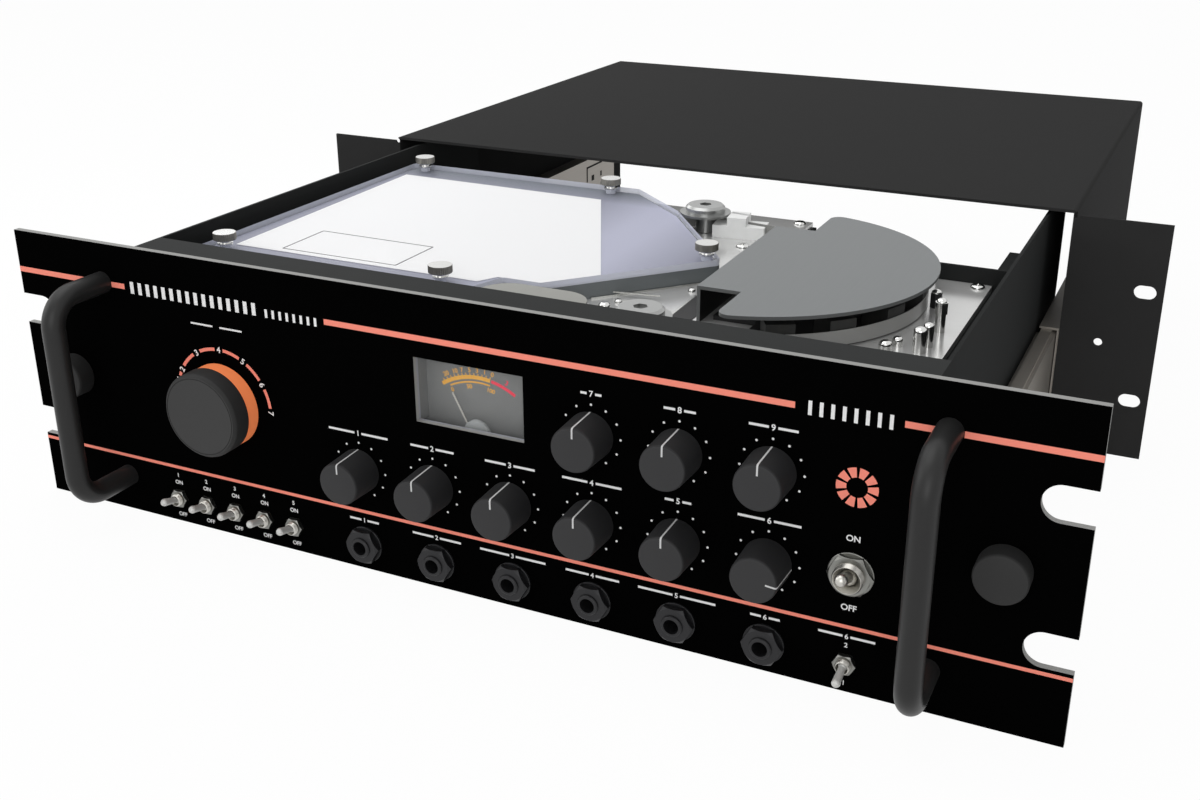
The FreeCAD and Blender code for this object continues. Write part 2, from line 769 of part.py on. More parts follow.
def meter_case():
    """Meter housing behind the panel, with its scale plate and the needle's pivot pin."""
    half_w = meter_width / 2 + meter_rim
    low = meter_z - meter_height / 2 - meter_foot
    top = meter_z + meter_height / 2 + meter_head
    shell = box(meter_x - half_w, meter_x + half_w, panel_back, panel_back + meter_depth, low, top)
    hollow = box(meter_x - half_w + meter_wall, meter_x + half_w - meter_wall,
                 panel_back, panel_back + meter_face_y, low + meter_wall, top - meter_wall)
    pin = rod_y(meter_x, needle_pivot_z(), needle_hub_r / 2,
                needle_y() - needle_width, panel_back + meter_face_y)
    return fuse(shell.cut(hollow), pin)


def needle_pivot_z():
    """Height of the needle's pivot."""
    return meter_z - needle_drop


def needle_y():
    """Front of the needle's hub, half-way down the meter's hollow."""
    return panel_back + meter_face_y / 2


def meter_needle():
    """Meter needle on its hub, resting at the left of the scale."""
    z = needle_pivot_z()
    front = needle_y()
    hub = rod_y(meter_x, z, needle_hub_r, front, front + 4 * needle_width)
    pointer = box(meter_x - needle_width / 2, meter_x + needle_width / 2, front, front + needle_width,
                  z, z + needle_length)
    shape = fuse(hub, pointer)
    shape.rotate(V(meter_x, front, z), V(0, 1, 0), -needle_angle)
    bore = rod_y(meter_x, z, needle_hub_r / 2 + running_gap, front - needle_width, front + 5 * needle_width)
    return shape.cut(bore)


def meter_window():
    """Clear window that fills the panel's cut-out."""
    half_w = meter_width / 2 - seat_gap
    half_h = meter_height / 2 - seat_gap
    return box(meter_x - half_w, meter_x + half_w, panel_back - meter_glass, panel_back,
               meter_z - half_h, meter_z + half_h)


def lock_screw(x):
    """Captive thumb screw that fastens the panel to the sleeve's ear."""
    knob = rod_y(x, mid_height, lock_knob_r, -joint_gap - lock_knob_height, -joint_gap)
    edge = [e for e in knob.Edges if abs(e.BoundBox.YMax + joint_gap + lock_knob_height) < 0.01]
    knob = knob.makeChamfer(lock_bevel, edge)
    return fuse(knob, rod_y(x, mid_height, lock_shaft_r, -joint_gap - lock_knob_height / 2,
                            panel_back + lock_reach))


# ---------------------------------------------------------------- transport deck
def deck_plate():
    """Deck sheet, L-shaped round the cross wall, bored for the capstan."""
    edge_x = cross_wall_x - seat_gap
    edge_y = cross_wall_y - joint_gap
    sheet_shape = plate([(-deck_half, deck_front), (deck_half, deck_front), (deck_half, edge_y),
                         (edge_x, edge_y), (edge_x, deck_rear), (-deck_half, deck_rear)],
                        deck_base, deck_top)
    return sheet_shape.cut(rod_z(capstan_x, capstan_y, capstan_r + running_gap, deck_base, deck_top))


def deck_screw_places():
    """Deck screws: along the ledges, and one beside the cross wall."""
    side = deck_half - deck_screw_inset
    rear = deck_rear - deck_screw_inset
    return [(side, cross_wall_y - deck_screw_inset), (side, panel_back + front_flange + deck_screw_inset),
            (cross_wall_x - deck_screw_inset, rear), (-side, rear),
            (cross_wall_x - deck_screw_left, cross_wall_y + deck_screw_behind)]


def deck_screws():
    """Pan-head screws on the deck."""
    heads = []
    for x, y in deck_screw_places():
        head = rod_z(x, y, deck_screw_r, deck_top, deck_top + deck_screw_head)
        rim = [e for e in head.Edges if e.BoundBox.ZMin > deck_top + deck_screw_head / 2]
        heads.append(head.makeFillet(deck_screw_head * 0.6, rim))
    return heads


def tank_block(z0, z1):
    """Block of the tank's outline: straight sides, a point at the right and a bay at the front."""
    points = [(-deck_half, tank_front), (bay_left, tank_front), (bay_left, bay_bend), bay_corner,
              bay_right, lid_tip, lid_bend, lid_notch, (lid_rear_x, tank_rear), (-deck_half, tank_rear)]
    block = plate(points, z0, z1)
    corners = [e for e in block.Edges if abs(e.BoundBox.ZLength - (z1 - z0)) < 0.01]
    return block.makeFillet(tank_corner_r, corners)


def tank_screw_places():
    """Thumb screws that hold the tank's lid."""
    left, middle = tank_screw_side - deck_half, tank_screw_middle
    front, rear = tank_front + tank_screw_front, tank_rear - tank_screw_rear
    tip = (lid_tip[0] - tank_screw_tip[0], lid_tip[1] + tank_screw_tip[1])
    return [(left, front), (middle, front), (left, rear), (middle, rear), tip]


def tank_wall_ring():
    """Tank wall under the lid, with screw bosses and two slots for the tape."""
    body = tank_block(deck_top, lid_low)
    base = [f for f in body.Faces if abs(f.BoundBox.ZMax - deck_top) < 0.01][0]
    inner = base.makeOffset2D(-tank_wall).extrude(V(0, 0, tank_rise))
    bosses = [rod_z(x, y, tank_boss_r, deck_top, lid_low) for x, y in tank_screw_places()]
    ring = fuse(body.cut(inner), *[b.common(body) for b in bosses])
    for x, y in tank_screw_places():
        ring = ring.cut(rod_z(x, y, tank_screw_neck_r, deck_top, lid_low))
    return ring.cut(ribbon(tape_circles(), tank_slot, deck_top, lid_low))


def tank_cover():
    """Clear lid of the tape tank."""
    lid = tank_block(lid_low, lid_top)
    for x, y in tank_screw_places():
        lid = lid.cut(rod_z(x, y, tank_screw_neck_r, lid_low, lid_top))
    return lid


def tank_thumb_screws():
    """Knurled thumb screws through the lid."""
    screws = []
    neck_top = lid_top + tank_screw_neck
    for x, y in tank_screw_places():
        screws.append(fuse(rod_z(x, y, tank_screw_neck_r, deck_top, neck_top),
                           rod_z(x, y, tank_collar_r, lid_top, lid_top + tank_collar),
                           rod_z(x, y, tank_screw_head_r, neck_top, neck_top + tank_screw_head)))
    return screws


def tape_circles():
    """Circles that the tape runs round, in order: capstan, three tank turns, guides and heads."""
    touch = tape_thickness / 2 + running_gap
    front, rear = tank_turn_y - tank_turn_step, tank_turn_y + tank_turn_step
    return [(capstan_x, capstan_y, capstan_r + touch, -1),
            (tank_turn_left, front, tank_turn_r, -1),
            (tank_turn_right, tank_turn_y, tank_turn_r, 1),
            (tank_turn_left, rear, tank_turn_r, -1),
            (*guide_places()[0], guide_roller_r + touch, -1),
            (head_arc_x, head_arc_y, head_arc_r, -1),
            (*guide_places()[1], guide_roller_r + touch, -1)]


def round_arc(angle, out):
    """Place at an angle round the head arc's centre, out from the arc."""
    reach = head_arc_r + out
    turn = math.radians(angle)
    return head_arc_x + reach * math.cos(turn), head_arc_y + reach * math.sin(turn)


def guide_places():
    """Axes of the rear and the front guide roller."""
    return [round_arc(guide_rear_angle, guide_rear_out), round_arc(guide_front_angle, guide_front_out)]


def guide_roller(x, y):
    """Flanged guide roller with a hexagon socket in its cap."""
    low = deck_top + joint_gap
    waist_top = lid_top + guide_lift
    flange_top = waist_top + guide_flange
    cap_top = deck_top + guide_height
    roller = fuse(rod_z(x, y, guide_roller_r, low, waist_top),
                  rod_z(x, y, guide_flange_r, waist_top, flange_top),
                  rod_z(x, y, guide_cap_r, flange_top, cap_top))
    rim = [e for e in roller.Edges if abs(e.BoundBox.ZMin - cap_top) < 0.01]
    roller = roller.makeChamfer(guide_bevel, rim)
    turns = [math.radians(60 * i) for i in range(6)]
    socket = [(x + guide_socket_r * math.cos(a), y + guide_socket_r * math.sin(a)) for a in turns]
    roller = roller.cut(plate(socket, cap_top - guide_socket, cap_top))
    return roller.cut(rod_z(x, y, guide_axle_r + running_gap, low, guide_bore_top()))


def guide_bore_top():
    """Top of the bore in a guide roller."""
    return deck_top + guide_height - guide_socket - guide_cap_wall


def guide_posts():
    """Chromed posts beside the heads, the guide rollers' axles and the pinch arm's pivot."""
    posts = []
    for x, y, r, height in (eye_post, tall_post, rear_post, short_post, low_post,
                            front_stud, bay_stud, wall_stud):
        body = rod_z(x, y, r, deck_top, deck_top + height)
        rim = [e for e in body.Edges if e.BoundBox.ZMin > deck_top + height / 2]
        posts.append(body.makeFillet(post_round * r, rim))
    x, y, r, height = eye_post
    ring_top = deck_top + height - post_round * r
    posts[0] = fuse(posts[0], rod_z(x, y, post_eye_r, ring_top - post_eye, ring_top))
    for x, y in guide_places():
        posts.append(rod_z(x, y, guide_axle_r, deck_top, guide_bore_top() - joint_gap))
    posts.append(rod_z(pinch_pivot_x, pinch_pivot_y, capstan_r, deck_top, pinch_arm_z() + pinch_arm_sheet))
    return posts


def head_block(angle):
    """One tape head on the head base, facing outwards to the tape at the given angle."""
    width, depth, height = head_size
    face_r = head_arc_r - tape_thickness / 2 - head_inset
    base = deck_top + head_base_sheet
    block = box(face_r - depth, face_r, -width / 2, width / 2, base, base + height)
    face = Part.makeCylinder(face_r, height, V(0, 0, base))
    block = block.common(face)
    shield = box(face_r - depth - sheet, face_r - depth, -width / 3, width / 3,
                 base, base + height * head_shield)
    block = fuse(block, shield)
    block.rotate(V(0, 0, 0), V(0, 0, 1), angle)
    return block.translated(V(head_arc_x, head_arc_y, 0))


def cover_shape(inset, z0, z1):
    """The head cover's outline: a disc cut off at a chord, with a square tongue beyond it."""
    disc = rod_z(head_arc_x, head_arc_y, cover_r - inset, z0, z1)
    right = box(cover_chord_x + inset, head_arc_x + cover_r,
                head_arc_y - cover_r, head_arc_y + cover_r, z0, z1)
    tongue = box(cover_tongue_x + inset, cover_chord_x + 2 * inset + cover_lap,
                 head_arc_y - cover_tongue_half + inset, head_arc_y + cover_tongue_half - inset, z0, z1)
    main = disc.common(right)
    corners = [e for e in main.Edges if abs(e.BoundBox.XMax - cover_chord_x - inset) < 0.01
               and abs(e.BoundBox.ZLength - (z1 - z0)) < 0.01 and abs(e.Length - (z1 - z0)) < 0.01]
    return fuse(main.makeFillet(cover_corner_r, corners), tongue)


def head_cover():
    """Sheet cover over the heads, with a wall down the tongue's edge to the deck."""
    top = cover_shape(0, cover_top - cover_sheet, cover_top)
    wall = box(cover_tongue_x, cover_tongue_x + cover_sheet, head_arc_y - cover_tongue_half,
               head_arc_y + cover_tongue_half, deck_top, cover_top)
    posts = []
    for angle in (-cover_post_angle, 0, cover_post_angle):
        x, y = round_arc(angle, cover_post_ring - head_arc_r)
        posts.append(rod_z(x, y, guide_post_r, deck_top + head_base_sheet, cover_top - cover_sheet))
    return fuse(top, wall, *posts)


def head_base():
    """Base plate of the head block, open in the middle."""
    base = cover_shape(head_base_margin, deck_top, deck_top + head_base_sheet)
    middle = rod_z(head_arc_x, head_arc_y, head_base_inner / 2, deck_top, deck_top + head_base_sheet)
    return base.cut(middle)


def capstan_cover():
    """Rounded plate over the capstan and pinch roller, on two posts."""
    left, right = capstan_cover_left, capstan_cover_right
    low = deck_top + capstan_cover_rise - capstan_cover_sheet
    top = box(left, right, capstan_cover_front, capstan_cover_rear, low, low + capstan_cover_sheet)
    corners = [e for e in top.Edges if abs(e.BoundBox.ZLength - capstan_cover_sheet) < 0.01]
    top = top.makeFillet(capstan_cover_corner_r, corners)
    front_post = rod_z(left + capstan_post_left, capstan_y - capstan_post_front,
                       capstan_cover_post_r, deck_top, low)
    rear_post_shape = rod_z(right - capstan_post_right, capstan_y + capstan_post_rear,
                            capstan_cover_post_r, deck_top, low)
    return fuse(top, front_post, rear_post_shape)


def tape_sensor():
    """Translucent splice sensor: a block with a raised middle, slotted for the tape."""
    left, right = sensor_left, sensor_left + sensor_width
    front, rear = sensor_front, sensor_front + sensor_depth
    body = fuse(box(left, right, front, rear, deck_top, deck_top + sensor_low),
                box(left + sensor_cheek_left, right - sensor_cheek_right, front, rear,
                    deck_top, deck_top + sensor_high))
    body.rotate(V(left, front, 0), V(0, 0, 1), sensor_turn)
    return body.cut(ribbon(tape_circles(), sensor_slot, tape_low - joint_gap, deck_top + sensor_high))


def pinch_centre():
    """Axis of the pinch roller, pressed on the tape at the capstan."""
    return capstan_x, capstan_y - capstan_r - 2 * running_gap - tape_thickness - joint_gap - pinch_r


def pinch_arm_z():
    """Underside of the pinch arm, above the roller."""
    return tape_high + joint_gap


def pinch_arm():
    """Arm from its pivot to the roller's pin."""
    x, y = pinch_centre()
    low = pinch_arm_z()
    span = math.hypot(x - pinch_pivot_x, y - pinch_pivot_y)
    bar = box(0, span, -pinch_arm_half, pinch_arm_half, low, low + pinch_arm_sheet)
    bar.rotate(V(0, 0, 0), V(0, 0, 1), math.degrees(math.atan2(y - pinch_pivot_y, x - pinch_pivot_x)))
    bar = bar.translated(V(pinch_pivot_x, pinch_pivot_y, 0))
    hub = rod_z(pinch_pivot_x, pinch_pivot_y, pinch_arm_half + pinch_hub_wall,
                deck_top + joint_gap, low + pinch_arm_sheet)
    eye = rod_z(x, y, pinch_arm_half, low, low + pinch_arm_sheet)
    pin = rod_z(x, y, pinch_pin_r, tape_low, low)
    bore = rod_z(pinch_pivot_x, pinch_pivot_y, capstan_r + running_gap, deck_top, low + pinch_arm_sheet)
    return fuse(bar, hub, eye, pin).cut(bore)


def pinch_roller():
    """Rubber pinch roller on the arm's pin."""
    x, y = pinch_centre()
    return rod_z(x, y, pinch_r, tape_low, tape_high).cut(
        rod_z(x, y, pinch_pin_r + running_gap, tape_low, tape_high))


def capstan():
    """Capstan shaft through the deck with its flywheel below."""
    top = deck_base - flywheel_drop
    low = top - flywheel_thickness
    wheel = rod_z(capstan_x, capstan_y, flywheel_r, low, top)
    groove = Part.makeTorus(flywheel_r + flywheel_groove_out, flywheel_groove_r,
                            V(capstan_x, capstan_y, (low + top) / 2))
    shaft = rod_z(capstan_x, capstan_y, capstan_r, low - capstan_tail, tape_high + joint_gap)
    return fuse(wheel.cut(groove), shaft)


def pulley_level():
    """Mid-height of the belt."""
    return deck_base - flywheel_drop - flywheel_thickness / 2


def motor_pulley():
    """Pulley on the motor's shaft."""
    level = pulley_level()
    half = belt_width / 2 + pulley_rim
    wheel = rod_z(motor_x, motor_y, motor_pulley_r, level - half, level + half)
    return fuse(wheel, rod_z(motor_x, motor_y, motor_shaft_r, motor_top() - motor_height / 2, level + half))


def motor_top():
    """Top of the motor's can, under the pulley."""
    return pulley_level() - flywheel_thickness


def capstan_motor():
    """Motor can hung from the deck on a bracket."""
    top = motor_top()
    can = rod_z(motor_x, motor_y, motor_r, top - motor_height, top)
    bracket = rod_z(motor_x, motor_y, motor_r, top, top + sheet)
    feet = []
    for angle in (90, 180, 225):
        x = motor_x + motor_foot_ring * math.cos(math.radians(angle))
        y = motor_y + motor_foot_ring * math.sin(math.radians(angle))
        feet.append(rod_z(x, y, motor_foot_r, top, deck_base))
    bore = rod_z(motor_x, motor_y, motor_shaft_r + running_gap,
                 top - motor_height / 2 - joint_gap, top + sheet)
    return fuse(can, bracket, *feet).cut(bore)


def drive_belt():
    """Flat belt from the motor's pulley to the flywheel."""
    reach = belt_gap + belt_thickness / 2
    circles = [(capstan_x, capstan_y, flywheel_r + reach, -1),
               (motor_x, motor_y, motor_pulley_r + reach, -1)]
    level = pulley_level()
    return ribbon(circles, belt_thickness, level - belt_width / 2, level + belt_width / 2)


# ---------------------------------------------------------------- electronics
def circuit_boards():
    """Control board behind the pots, and main board on spacers on the floor, with their parts."""
    back = panel_back + pot_depth
    low = jack_row + jack_body / 2 + sheet
    step = columns[3] - column_pitch / 3
    front_board = fuse(
        box(columns[0] - pot_r, columns[5] + pot_r, back, back + board_sheet, low, row_low + pot_r),
        box(step, columns[5] + pot_r, back, back + board_sheet, low, row_high + pot_r))
    return [front_board, main_board()]


def main_board():
    """Board on spacers above the floor, with capacitors, coolers and chips."""
    floor = drawer_floor + sheet
    level = floor + board_spacer
    top = level + board_sheet
    board = box(board_left, board_right, board_front, board_rear, level, top)
    spacers = []
    for x in (board_left + board_spacer_inset, board_right - board_spacer_inset):
        for y in (board_front + board_spacer_inset, board_rear - board_spacer_inset):
            spacers.append(rod_z(x, y, board_spacer_r, floor, level))
    parts = []
    for i in range(4):
        x = board_left + capacitor_inset[0] + capacitor_pitch * i
        parts.append(rod_z(x, board_rear - capacitor_inset[1], capacitor_r, top, top + capacitor_height))
    length, thick, height = cooler_size
    for i in range(3):
        right = board_right - cooler_inset
        y = board_front + cooler_inset + cooler_pitch * i
        parts.append(box(right - length, right, y, y + thick, top, top + height))
    length, depth, height = chip_size
    for i in range(4):
        x = board_left + chip_inset[0] + chip_pitch * i
        y = board_front + chip_inset[1]
        parts.append(box(x, x + length, y, y + depth, top, top + height))
    return fuse(board, *spacers, *parts)


def reverb_tank():
    """Spring reverb pan: an open tray upside down on the floor, its springs inside."""
    length, depth, height = reverb_size
    left = -drawer_inner + reverb_side
    front = deck_rear + reverb_behind
    floor = drawer_floor + sheet
    pan = box(left, left + length, front, front + depth, floor, floor + height)
    pan = pan.cut(box(left + sheet, left + length - sheet, front + sheet, front + depth - sheet,
                      floor, floor + height - sheet))
    springs = []
    for i in range(spring_count):
        end = V(left + sheet, front + depth * (i + 1) / (spring_count + 1), floor + height / 2)
        springs.append(Part.makeCylinder(spring_r, length - 2 * sheet, end, V(1, 0, 0)))
    return [pan] + springs


def power_transformer():
    """Toroidal mains transformer with its clamp bolt."""
    floor = drawer_floor + sheet
    top = floor + transformer_height
    coil = rod_z(transformer_x, transformer_y, transformer_r, floor, top)
    rims = [e for e in coil.Edges if abs(e.BoundBox.XLength - 2 * transformer_r) < 0.01]
    coil = coil.makeFillet(transformer_height / 4, rims)
    hole_r = transformer_r / 3
    coil = coil.cut(rod_z(transformer_x, transformer_y, hole_r, floor, top))
    bolt = rod_z(transformer_x, transformer_y, transformer_bolt_r, floor, top + transformer_bolt_rise)
    clamp = rod_z(transformer_x, transformer_y, 2 * hole_r, top, top + sheet)
    return [coil, fuse(bolt, clamp)]


def inlet_half():
    """Half the width and half the height of the mains inlet's body."""
    width, height = inlet_socket
    return width / 2 + inlet_wall, height / 2 + inlet_wall


def mains_inlet():
    """Three-pin mains inlet in the rear wall."""
    width, height = inlet_socket
    half_w, half_h = inlet_half()
    flange_w, flange_h = inlet_flange
    back = drawer_rear
    front = back - inlet_depth
    body = fuse(box(inlet_x - half_w, inlet_x + half_w, front, back, inlet_z - half_h, inlet_z + half_h),
                box(inlet_x - flange_w / 2, inlet_x + flange_w / 2,
                    back - sheet - inlet_flange_sheet, back - sheet,
                    inlet_z - flange_h / 2, inlet_z + flange_h / 2))
    body = body.cut(box(inlet_x - width / 2, inlet_x + width / 2, front + inlet_end, back,
                        inlet_z - height / 2, inlet_z + height / 2))
    pin_w, pin_h = pin_size
    for column in (-1, 0, 1):
        x = inlet_x + column * pin_pitch
        z = inlet_z + (pin_offset if column == 0 else -pin_offset)
        body = fuse(body, box(x - pin_w / 2, x + pin_w / 2, front + pin_root, back - pin_setback,
                              z - pin_h / 2, z + pin_h / 2))
    return body


# ---------------------------------------------------------------- write the nodes
knob_names = ["input_knob_1", "input_knob_2", "input_knob_3", "mix_knob_1", "mix_knob_2", "mix_knob_3",
              "tone_knob_1", "tone_knob_2", "tone_knob_3"]
outer_slide, middle_slide, inner_slide = slide_members()

save("rack_sleeve", rack_sleeve())
save("outer_slides", *both_sides(outer_slide))
save("middle_slides", *both_sides(middle_slide))
save("inner_slides", *both_sides(inner_slide))
save("front_panel", front_panel())
save("drawer_tray", drawer_tray())
save("handle_left", *grip(-grip_x))
save("handle_right", *grip(grip_x))
for knob_name, place in zip(knob_names, knob_places()):
    save(knob_name, *round_knob(*place))
save("mode_knob", *mode_knob())
save("control_pots", *control_pots())
save("mode_switch", *mode_switch())
save("toggle_switches", *toggle_switches())
for number, toggle_x in enumerate(toggle_columns, 1):
    save("toggle_lever_%d" % number, mini_lever_at(toggle_x, 1))
save("level_lever", mini_lever_at(level_x, -1))
save("power_lever", lever(level_x, power_z, power_ball_r, power_bushing_length, power_lever,
                          power_tip_r, power_tilt))
save("jack_sockets", *jack_sockets())
save("meter_case", meter_case())
save("meter_needle", meter_needle())
save("meter_window", meter_window())
save("lock_screw_left", lock_screw(-lock_x))
save("lock_screw_right", lock_screw(lock_x))
save("deck_plate", deck_plate())
save("deck_screws", *deck_screws())
save("tape_tank", tank_wall_ring())
save("tank_cover", tank_cover())
save("tank_thumb_screws", *tank_thumb_screws())
save("tape_loop", ribbon(tape_circles(), tape_thickness, tape_low, tape_high))
save("guide_roller_rear", guide_roller(*guide_places()[0]))
save("guide_roller_front", guide_roller(*guide_places()[1]))
save("guide_posts", *guide_posts())
save("head_base", head_base())
save("head_cover", head_cover())
save("erase_head", head_block(-62))
save("record_head", head_block(-42))
save("playback_heads", *[head_block(a) for a in (-20, 4, 28)])
save("capstan_cover", capstan_cover())
save("tape_sensor", tape_sensor())
save("pinch_arm", pinch_arm())
save("pinch_roller", pinch_roller())
save("capstan", capstan())
save("motor_pulley", motor_pulley())
save("capstan_motor", capstan_motor())
save("drive_belt", drive_belt())
save("circuit_boards", *circuit_boards())
save("reverb_tank", *reverb_tank())
save("power_transformer", *power_transformer())
save("mains_inlet", mains_inlet())
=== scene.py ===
"""Looks of the rack tape echo unit: finishes for the CAD parts, and the fine pieces made here.

Sizes and places are written in millimetres in the front panel's own frame: X to the right of the
panel's centre, Y back from its face, Z up from its bottom edge. at() turns them into the rack
frame. The lamps and the camera are placed in metres.
"""
import json
import math
import bpy
from mathutils import Matrix, Vector

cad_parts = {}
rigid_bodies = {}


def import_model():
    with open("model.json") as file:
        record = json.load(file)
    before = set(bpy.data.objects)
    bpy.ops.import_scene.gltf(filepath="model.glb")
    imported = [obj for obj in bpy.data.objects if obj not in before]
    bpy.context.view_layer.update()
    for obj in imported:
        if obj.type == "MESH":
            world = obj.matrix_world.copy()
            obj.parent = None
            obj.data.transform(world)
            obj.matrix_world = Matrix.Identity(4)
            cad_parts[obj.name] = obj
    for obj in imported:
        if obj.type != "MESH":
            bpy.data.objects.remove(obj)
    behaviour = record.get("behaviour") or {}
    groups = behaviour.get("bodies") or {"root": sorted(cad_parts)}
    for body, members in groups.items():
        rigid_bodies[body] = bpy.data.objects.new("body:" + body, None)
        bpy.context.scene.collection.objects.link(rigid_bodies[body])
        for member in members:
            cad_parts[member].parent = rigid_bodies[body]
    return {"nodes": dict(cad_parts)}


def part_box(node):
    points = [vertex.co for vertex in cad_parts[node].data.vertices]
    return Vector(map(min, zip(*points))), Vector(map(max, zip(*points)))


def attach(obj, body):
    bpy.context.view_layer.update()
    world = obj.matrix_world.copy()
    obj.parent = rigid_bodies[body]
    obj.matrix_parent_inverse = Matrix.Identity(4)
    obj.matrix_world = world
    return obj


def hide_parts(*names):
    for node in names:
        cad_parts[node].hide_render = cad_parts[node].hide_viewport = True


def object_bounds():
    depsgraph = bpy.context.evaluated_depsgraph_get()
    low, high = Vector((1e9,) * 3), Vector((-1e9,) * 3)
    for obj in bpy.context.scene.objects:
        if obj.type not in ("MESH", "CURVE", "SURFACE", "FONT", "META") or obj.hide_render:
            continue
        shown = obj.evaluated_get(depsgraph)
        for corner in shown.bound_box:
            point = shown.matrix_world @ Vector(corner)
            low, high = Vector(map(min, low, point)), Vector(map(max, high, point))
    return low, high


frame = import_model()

for stray in [o for o in bpy.data.objects if o.name in ("Cube", "Light", "Camera")]:
    bpy.data.objects.remove(stray)
cad_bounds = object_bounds()

MM = 0.001
panel_low, panel_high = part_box("front_panel")
panel_foot = Vector(((panel_low.x + panel_high.x) / 2, panel_low.y, panel_low.z))


def at(x, y, z):
    """Point of the rack frame, in metres, from panel millimetres."""
    return panel_foot + Vector((x, y, z)) * MM


class Place:
    """Where a CAD node is, in panel millimetres."""

    def __init__(self, node):
        low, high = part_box(node)
        low, high = (low - panel_foot) / MM, (high - panel_foot) / MM
        middle = (low + high) / 2
        self.left, self.front, self.foot = low
        self.right, self.back, self.top = high
        self.x, self.z = middle.x, middle.z
        self.width = (high - low).x


# ---- finishes: the tools
def shade(red, green=None, blue=None, alpha=1.0):
    """Colour from the 0 to 255 values seen on a screen; one value alone is a grey."""
    if green is None:
        green = blue = red
    parts = []
    for value in (red, green, blue):
        v = value / 255
        parts.append(v / 12.92 if v <= 0.04045 else ((v + 0.055) / 1.055) ** 2.4)
    return (*parts, alpha)


class Value:
    """A number or colour that varies. Arithmetic on it adds the nodes that work it out."""

    def __init__(self, nodes, socket):
        self.nodes = nodes
        self.socket = socket

    def maths(self, operation, *values):
        inputs = dict(enumerate(values))
        return self.nodes.node("Math", {"operation": operation}, inputs)

    def __add__(self, other):
        return self.maths("ADD", self, other)

    def __radd__(self, other):
        return self.maths("ADD", other, self)

    def __sub__(self, other):
        return self.maths("SUBTRACT", self, other)

    def __rsub__(self, other):
        return self.maths("SUBTRACT", other, self)

    def __mul__(self, other):
        return self.maths("MULTIPLY", self, other)

    def __abs__(self):
        return self.maths("ABSOLUTE", self)

    def above(self, level):
        """1 where the value is over the level, else 0."""
        return self.maths("GREATER_THAN", self, level)

    def wave(self):
        return self.maths("SINE", self)

    def larger(self, other):
        return self.maths("MAXIMUM", self, other)


class Nodes:
    """A node tree, and short ways to add to it."""

    def __init__(self, tree):
        self.tree = tree

    def join(self, socket, value):
        """Give a socket a constant, or join a varying value to it."""
        if isinstance(value, Value):
            self.tree.links.new(value.socket, socket)
        else:
            socket.default_value = value

    def node(self, kind, settings=None, inputs=None, output=0):
        """Add a shader node, set it up, join its inputs, and return one of its outputs."""
        made = self.tree.nodes.new("ShaderNode" + kind)
        for name, value in (settings or {}).items():
            setattr(made, name, value)
        for name, value in (inputs or {}).items():
            self.join(made.inputs[name], value)
        return Value(self, made.outputs[output])

    def ramp(self, value, start, end, low=0.0, high=1.0):
        """Low up to the start, high from the end on, and even in between."""
        inputs = {"Value": value, "From Min": start, "From Max": end, "To Min": low, "To Max": high}
        return self.node("MapRange", None, inputs)

    def in_view(self):
        """1 for rays from the camera, a mirror or a clear sheet; 0 for those that bring light."""
        seen, mirrored, passed = (self.node("LightPath", output="Is %s Ray" % kind)
                                  for kind in ("Camera", "Glossy", "Transmission"))
        return seen.larger(mirrored).larger(passed)


X, Y, Z = 0, 1, 2  # numbers of the axes


